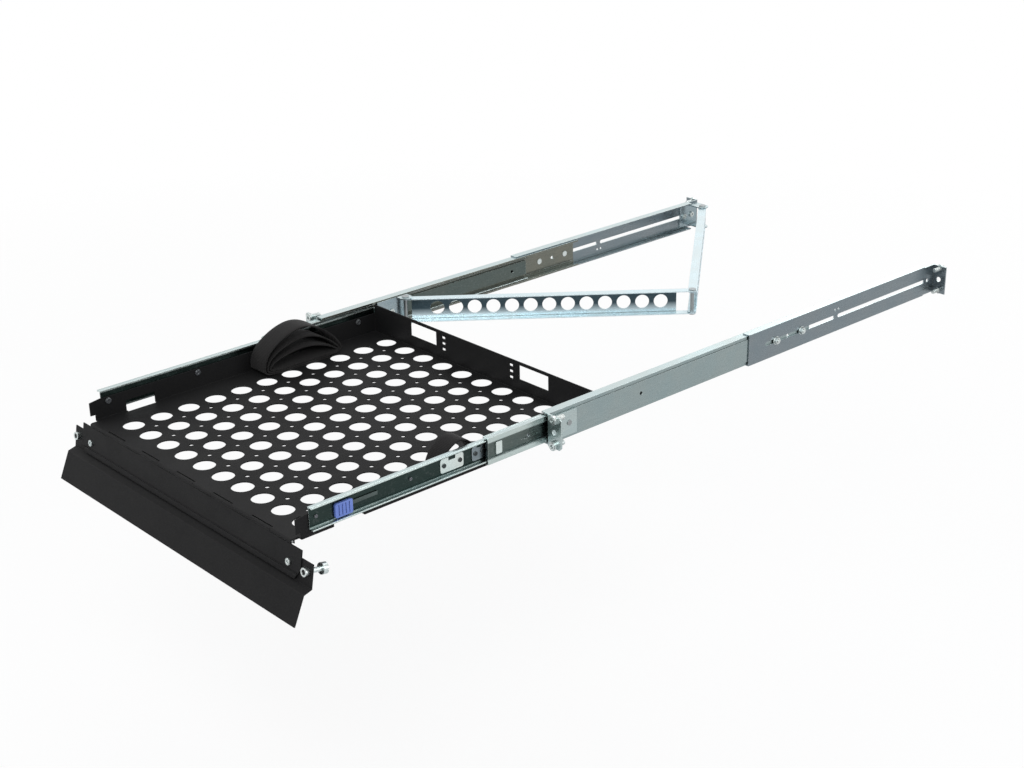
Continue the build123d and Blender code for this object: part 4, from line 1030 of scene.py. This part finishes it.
@dataclass
class FlapGroup(SubAssembly):
    """Hinged flap with its faceplate, screws and captive screws, and the fixed strip behind the hinge."""

    tip_ahead: float = -351.0 * MM      # ahead of this a captive screw gets painted shade, where it sits in the dark of its guide
    strip_front: float = -343.4 * MM
    strip_depth: float = 13.0 * MM
    strip_half: float = 203.5 * MM
    strip_top: float = -21.5 * MM
    strip_sheet: float = 0.8 * MM
    strip_fold: float = 3.6 * MM
    weld_cuts: int = 20
    weld_inset: float = 4.6 * MM
    weld_depth: float = 0.3 * MM

    def finishes(self) -> dict[str, Finish]:
        """Choose the finishes.

        Returns:
            The finish of each node of the group.
        """
        captive = replace(SCREW_ZINC, name="captive screw", tip_ahead=self.tip_ahead)
        return {"hinge_leaf": BLACK_PAINT, "faceplate": BLACK_PAINT, "flap_screws": SCREW_ZINC,
                "ferrules": SCREW_ZINC, "captive_screw_left": captive, "captive_screw_right": captive}

    def add_pieces(self) -> None:
        """Make the fixed strip of the hinge, welded under the front edge of the floor."""
        middle = self.strip_front + self.strip_depth / 2
        place = (0.0, middle, self.strip_top - self.strip_sheet / 2)
        size = (2 * self.strip_half, self.strip_depth, self.strip_sheet)
        Bench.clear()
        bpy.ops.mesh.primitive_cube_add(size=1.0, location=place, scale=size)
        strip = Bench.named("hinge_strip")
        Bench.settle(strip)
        Bench.pick_edges(strip, lambda corner: corner.y > middle)
        bpy.ops.mesh.select_mode(type="FACE")
        bpy.ops.mesh.bevel(offset=self.strip_sheet / 3, segments=2)
        bpy.ops.object.mode_set(mode="OBJECT")
        self._fold_down(strip)
        self._mark_welds(strip)
        Bench.smooth(strip, 30.0)
        strip.data.materials.append(self.wardrobe.hang(BLACK_PAINT))
        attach(strip, "shelf")
        LOG.info("made %s", strip.name)

    def _fold_down(self, strip: bpy.types.Object) -> None:
        """Fold the front edge of the strip down behind the flap.

        Args:
            strip: The flat strip.
        """
        fold = self.strip_front + self.strip_sheet
        Bench.score(strip, (0.0, fold, 0.0), (0.0, 1.0, 0.0))
        Bench.pick_faces(strip, lambda face: face.normal.z < -FLAT and face.center.y < fold)
        Bench.draw_out((0.0, 0.0, -self.strip_fold))
        bpy.ops.object.mode_set(mode="OBJECT")

    def _mark_welds(self, strip: bpy.types.Object) -> None:
        """Press a row of weld marks into the underside of the strip.

        Args:
            strip: The folded strip.
        """
        step = 2 * self.strip_half / (self.weld_cuts + 1)
        wide = step * self.strip_depth / 2
        for number in range(1, self.weld_cuts + 1):
            Bench.score(strip, (number * step - self.strip_half, 0.0, 0.0), (1.0, 0.0, 0.0))

        def every_other(face: bpy.types.MeshPolygon) -> bool:
            """Wide faces of the underside, in every other column."""
            column = int((face.center.x + self.strip_half) / step)
            return face.normal.z < -FLAT and face.area > wide and column % 2 == 0

        Bench.pick_faces(strip, every_other)
        bpy.ops.mesh.inset(thickness=self.weld_inset, use_individual=True)
        Bench.draw_out((0.0, 0.0, self.weld_depth))
        bpy.ops.object.mode_set(mode="OBJECT")


@dataclass
class SlideGroup(SubAssembly):
    """Ball slides of both sides with their cages, balls, latch plates and release tabs."""

    # half heights of the painted dark band on the inner and middle members
    inner_web: float = 12.0 * MM
    middle_web: float = 10.6 * MM
    tab_end: float = -274.0 * MM      # behind this a release tab is its steel blade

    def finishes(self) -> dict[str, Finish]:
        """Choose the finishes.

        Returns:
            The finish of each node of the group.
        """
        bright = ZincPlate("bright latch plate", Slot.BRIGHT, face=(0.66, 0.7, 0.66), level_highlight=(0.66, 0.7, 0.66),
                           roughness=0.3, bloom=0.15, edge=0.35 * MM)
        dark = ZincPlate("dark rivet", Slot.PINS, face=(0.05, 0.055, 0.055), level_highlight=(0.1, 0.1, 0.1),
                         roughness=0.35, edge=0.3 * MM)
        tab = MouldedTab("blue release tab", Slot.BLUE, blade_from=self.tab_end)
        found = both_sides(("long_latch_plate", "stop_block"), lambda side, sign: bright)
        found |= both_sides(("short_latch_plate",), lambda side, sign: SHEET_ZINC)
        found |= both_sides(("outer_cage", "inner_cage"), lambda side, sign: PLAIN_STEEL)
        found |= both_sides(("outer_balls", "inner_balls"), lambda side, sign: SCREW_ZINC)
        found |= both_sides(("release_tab",), lambda side, sign: tab)
        found |= both_sides(("outer_member",), self._outer)
        found |= both_sides(("middle_member",), self._middle)
        found |= both_sides(("inner_member",), self._inner)
        found["latch_rivets"] = dark
        return found

    def _outer(self, side: str, sign: int) -> Finish:
        """Finish of an outer member, with brownish painted shade on the faces inside its channel."""
        return ZincPlate(f"outer member {side}", Slot.ZINC, face=(0.29, 0.34, 0.335),
                         inside=(0.17, 0.17, 0.142), inside_way=-float(sign), roughness=0.22)

    def _middle(self, side: str, sign: int) -> Finish:
        """Finish of a middle member, with painted shade and dark reflection in the recessed middle of its
        channel, and painted shade inside.
        """
        return ZincPlate(f"middle member {side}", Slot.ZINC, face=(0.5, 0.56, 0.53), painted_web_dark=(0.1, 0.12, 0.11),
                         inside=(0.12, 0.12, 0.1), inside_way=-float(sign),
                         web_span=(-self.middle_web, self.middle_web), roughness=0.22)

    def _inner(self, side: str, sign: int) -> Finish:
        """Finish of an inner member, with a painted dark reflection across its middle, between bright edges
        that carry a painted highlight.
        """
        return ZincPlate(f"inner member {side}", Slot.ZINC, face=(0.55, 0.62, 0.59),
                         painted_web_dark=(0.028, 0.042, 0.038), web_span=(-self.inner_web, self.inner_web),
                         roughness=0.22)


@dataclass
class RackGroup(SubAssembly):
    """Ears, rear brackets, rivets, bolts and rack screws. The screws get their threads here."""

    hole_x: float = 232.55 * MM
    hole_z: float = 15.875 * MM
    depth: float = 742.0 * MM
    pitch: float = 1.0 * MM
    ridge: float = 0.42 * MM
    thread_turns: int = 11
    turn_steps: int = 18
    end_gap: float = 0.6 * MM
    front_core: float = 2.83 * MM
    rear_core: float = 2.33 * MM

    def finishes(self) -> dict[str, Finish]:
        """Choose the finishes.

        Returns:
            The finish of each node of the group.
        """
        bright_ear = ZincPlate("front ear", Slot.ZINC, face=(0.42, 0.48, 0.47), roughness=0.24)
        found = both_sides(("ear",), lambda side, sign: bright_ear)
        found |= both_sides(("rear_bracket",), lambda side, sign: SHEET_ZINC)
        screws = ("rack_screws_front", "rack_screws_rear", "bracket_bolts", "bracket_nuts")
        found |= {name: SCREW_ZINC for name in screws}
        found["front_rivets"] = PLAIN_STEEL
        return found

    def add_pieces(self) -> None:
        """Wind the threads of the rack screws."""
        length = self.thread_turns * self.pitch
        self._threads("front_thread", self.front_core, self.end_gap)
        self._threads("rear_thread", self.rear_core, self.depth - self.end_gap - length)

    def _threads(self, name: str, core: float, start: float) -> None:
        """Wind one thread as a ridge round its shank, then copy it to the other three holes.

        Args:
            name: Name of the pieces.
            core: Distance of the ridge's middle from the axis.
            start: Where the thread starts along Y.
        """
        Bench.clear()
        bpy.ops.mesh.primitive_circle_add(vertices=3, radius=self.ridge, location=(core, 0.0, 0.0),
                                          rotation=(0.0, 0.0, -math.pi / 2))
        ridge = Bench.named(name)
        Bench.settle(ridge)
        Bench.modify(ridge, "SCREW", axis="Y", screw_offset=self.pitch, iterations=self.thread_turns,
                     steps=self.turn_steps, render_steps=self.turn_steps, use_smooth_shade=False)
        bpy.ops.object.mode_set(mode="EDIT")
        bpy.ops.mesh.select_all(action="SELECT")
        bpy.ops.mesh.fill_holes(sides=3)
        bpy.ops.mesh.normals_make_consistent(inside=False)
        bpy.ops.object.mode_set(mode="OBJECT")
        Bench.smooth(ridge, 40.0)
        ridge.data.materials.append(self.wardrobe.hang(SCREW_ZINC))
        spots = [(x, z) for x in (-self.hole_x, self.hole_x) for z in (-self.hole_z, self.hole_z)]
        for number, (x, z) in enumerate(spots, start=1):
            Bench.take(ridge)
            bpy.ops.object.duplicate(linked=False)
            copy = Bench.named(f"{name}_{number}")
            copy.location = (x, start, z)
            Bench.settle(copy)
            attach(copy, "rack_parts")
            LOG.info("made %s", copy.name)
        bpy.data.objects.remove(ridge)


@dataclass
class ArmGroup(SubAssembly):
    """Cable arm: two punched links, two forks, pins and screws."""

    # half height of the painted shadow on the front link, and how far it fades towards the bottom
    web_half: float = 13.8 * MM
    web_fade: float = 13.0 * MM
    link_turn: float = 140.2

    def finishes(self) -> dict[str, Finish]:
        """Choose the finishes.

        Returns:
            The finish of each node of the group.
        """
        # The forks and links get a painted highlight on faces that look up or down
        fold = ZincPlate("folded fork", Slot.ZINC, face=(0.3, 0.36, 0.38), level_highlight=(0.62, 0.7, 0.7),
                         roughness=0.22)
        pale = (0.74, 0.84, 0.86)
        # Painted shadow of the top flange across the front link, fading towards the bottom
        front = ZincPlate("front link", Slot.ZINC, face=(0.6, 0.7, 0.73), level_highlight=pale, painted_web_dark=(0.045, 0.068, 0.08),
                          web_span=(-self.web_half, self.web_half), web_fade=(self.web_fade, 1.0 * MM),
                          turn=math.radians(-self.link_turn), roughness=0.2)
        rear = ZincPlate("rear link", Slot.ZINC, face=(0.46, 0.56, 0.6), level_highlight=pale,
                         turn=math.radians(self.link_turn), roughness=0.2)
        pins = ("rear_pivot_pin", "elbow_pin", "arm_end_pin", "shelf_pivot_studs")
        found = {name: PLAIN_STEEL for name in pins}
        found |= {"arm_screws": SCREW_ZINC, "shelf_screws": SCREW_ZINC, "rear_fork": fold,
                  "shelf_fork": fold, "front_arm": front, "rear_arm": rear}
        return found


@dataclass(frozen=True)
class SoftBox:
    """A square area lamp that points at the shelf."""

    name: str
    place: Place
    size: float
    power: float

    def hang(self, target: Place) -> None:
        """Make the lamp.

        Args:
            target: Where it points.
        """
        lamp = bpy.data.lights.new(self.name, "AREA")
        lamp.size = self.size
        lamp.energy = self.power
        thing = bpy.data.objects.new(self.name, lamp)
        bpy.context.scene.collection.objects.link(thing)
        thing.location = self.place
        aim = Vector(target) - Vector(self.place)
        thing.rotation_euler = aim.to_track_quat("-Z", "Y").to_euler()


@dataclass
class Studio:
    """Floor, light and camera."""

    floor_drop: float = 0.34
    floor_size: float = 9.0
    floor_white: float = 0.93
    floor_glow: float = 0.8
    fade_start: float = 0.9
    fade_end: float = 2.6
    world_light: float = 0.5
    world_tint: Colour = (0.97, 0.98, 1.0)
    lamp_target: Place = (0.0, 0.1, 0.0)
    lamps: tuple[SoftBox, ...] = (
        SoftBox("key", (1.6, -1.8, 2.2), 1.6, 42.0),
        SoftBox("fill", (-2.0, -1.2, 1.6), 2.0, 20.0),
        SoftBox("back", (-0.6, 2.6, 1.8), 1.8, 26.0),
        SoftBox("side", (2.4, 0.9, 0.8), 1.2, 14.0),
    )
    camera_place: Place = (1.5049, -1.2075, 0.7987)
    azimuth: float = 48.083
    elevation: float = 22.833
    roll: float = -0.967
    lens: float = 59.71

    def build(self) -> None:
        """Make the whole studio."""
        self._floor()
        self._world()
        for lamp in self.lamps:
            lamp.hang(self.lamp_target)
        self._camera()

    def _floor(self) -> None:
        """Add a pale floor that keeps the shadow and fades into the white background."""
        low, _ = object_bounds()
        Bench.clear()
        bpy.ops.mesh.primitive_plane_add(size=self.floor_size, location=(0.0, 0.0, low.z - self.floor_drop))
        floor = Bench.named("studio_floor")
        material = bpy.data.materials.new("studio floor")
        material.use_nodes = True
        pen = NodePen(material.node_tree)
        pen.tree.nodes.clear()
        kinds = ("ShaderNodeBsdfDiffuse", "ShaderNodeEmission", "ShaderNodeBsdfTransparent")
        matt, glow, clear = (pen.add(kind) for kind in kinds)
        matt.inputs["Color"].default_value = (*(self.floor_white,) * 3, 1.0)
        rays = pen.add("ShaderNodeLightPath").outputs["Is Camera Ray"]
        glowing = pen.math("MULTIPLY", rays, self.floor_glow)
        there = pen.add("ShaderNodeVectorMath", operation="LENGTH")
        pen.put(there.inputs[0], pen.add("ShaderNodeTexCoord").outputs["Object"])
        far = pen.ramp(there.outputs["Value"], self.fade_start, self.fade_end, 0.0, 1.0)
        lit = self._blend(pen, glowing, matt, glow)
        out = pen.add("ShaderNodeOutputMaterial")
        pen.put(out.inputs["Surface"], self._blend(pen, far, lit, clear).outputs[0])
        floor.data.materials.append(material)
        floor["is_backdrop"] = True

    @staticmethod
    def _blend(pen: NodePen, share: Socket, first: bpy.types.Node, second: bpy.types.Node) -> bpy.types.Node:
        """Mix two shaders.

        Args:
            pen: Pen on the tree.
            share: 0 gives the first shader, 1 the second.
            first: The first shader.
            second: The second shader.

        Returns:
            The mix node.
        """
        node = pen.add("ShaderNodeMixShader")
        for socket, value in zip(node.inputs, (share, first.outputs[0], second.outputs[0])):
            pen.put(socket, value)
        return node

    def _world(self) -> None:
        """Light from all round, plain white to the eye and in reflections."""
        world = bpy.data.worlds.new("studio world")
        bpy.context.scene.world = world
        world.use_nodes = True
        pen = NodePen(world.node_tree)
        pen.tree.nodes.clear()
        rays = pen.add("ShaderNodeLightPath").outputs
        seen = pen.math("MAXIMUM", rays["Is Camera Ray"], rays["Is Transmission Ray"])
        seen = pen.math("MAXIMUM", seen, rays["Is Glossy Ray"])
        soft, plain = pen.add("ShaderNodeBackground"), pen.add("ShaderNodeBackground")
        soft.inputs["Strength"].default_value = self.world_light
        soft.inputs["Color"].default_value = (*self.world_tint, 1.0)
        plain.inputs["Strength"].default_value = 1.0
        plain.inputs["Color"].default_value = (1.0, 1.0, 1.0, 1.0)
        out = pen.add("ShaderNodeOutputWorld")
        pen.put(out.inputs["Surface"], self._blend(pen, seen, soft, plain).outputs[0])

    def _camera(self) -> None:
        """Stand the camera where the photograph was taken from."""
        turn, rise, roll = (math.radians(value) for value in (self.azimuth, self.elevation, self.roll))
        ahead = Vector((-math.sin(turn) * math.cos(rise), math.cos(turn) * math.cos(rise), -math.sin(rise)))
        right = ahead.cross(Vector((0.0, 0.0, 1.0))).normalized()
        up = right.cross(ahead)
        tilted = right * math.cos(roll) + up * math.sin(roll)
        above = up * math.cos(roll) - right * math.sin(roll)
        data = bpy.data.cameras.new("photo camera")
        data.lens = self.lens
        data.sensor_width = 36.0
        data.clip_end = 100.0
        camera = bpy.data.objects.new("photo camera", data)
        bpy.context.scene.collection.objects.link(camera)
        basis = Matrix((tilted, above, -ahead)).transposed()
        camera.matrix_world = Matrix.Translation(self.camera_place) @ basis.to_4x4()
        bpy.context.scene.camera = camera


def main() -> None:
    """Dress the frame, add the new pieces and set up the studio."""
    logging.basicConfig(level=logging.INFO, format="%(name)s: %(message)s")
    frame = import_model()
    bpy.context.scene.view_settings.view_transform = "Standard"
    wardrobe = Wardrobe(Effects())
    for group in (TrayGroup, FlapGroup, SlideGroup, RackGroup, ArmGroup):
        group(wardrobe, frame["nodes"]).build()
        LOG.info("finished %s", group.__name__)
    Studio().build()


if __name__ == "__main__":
    main()
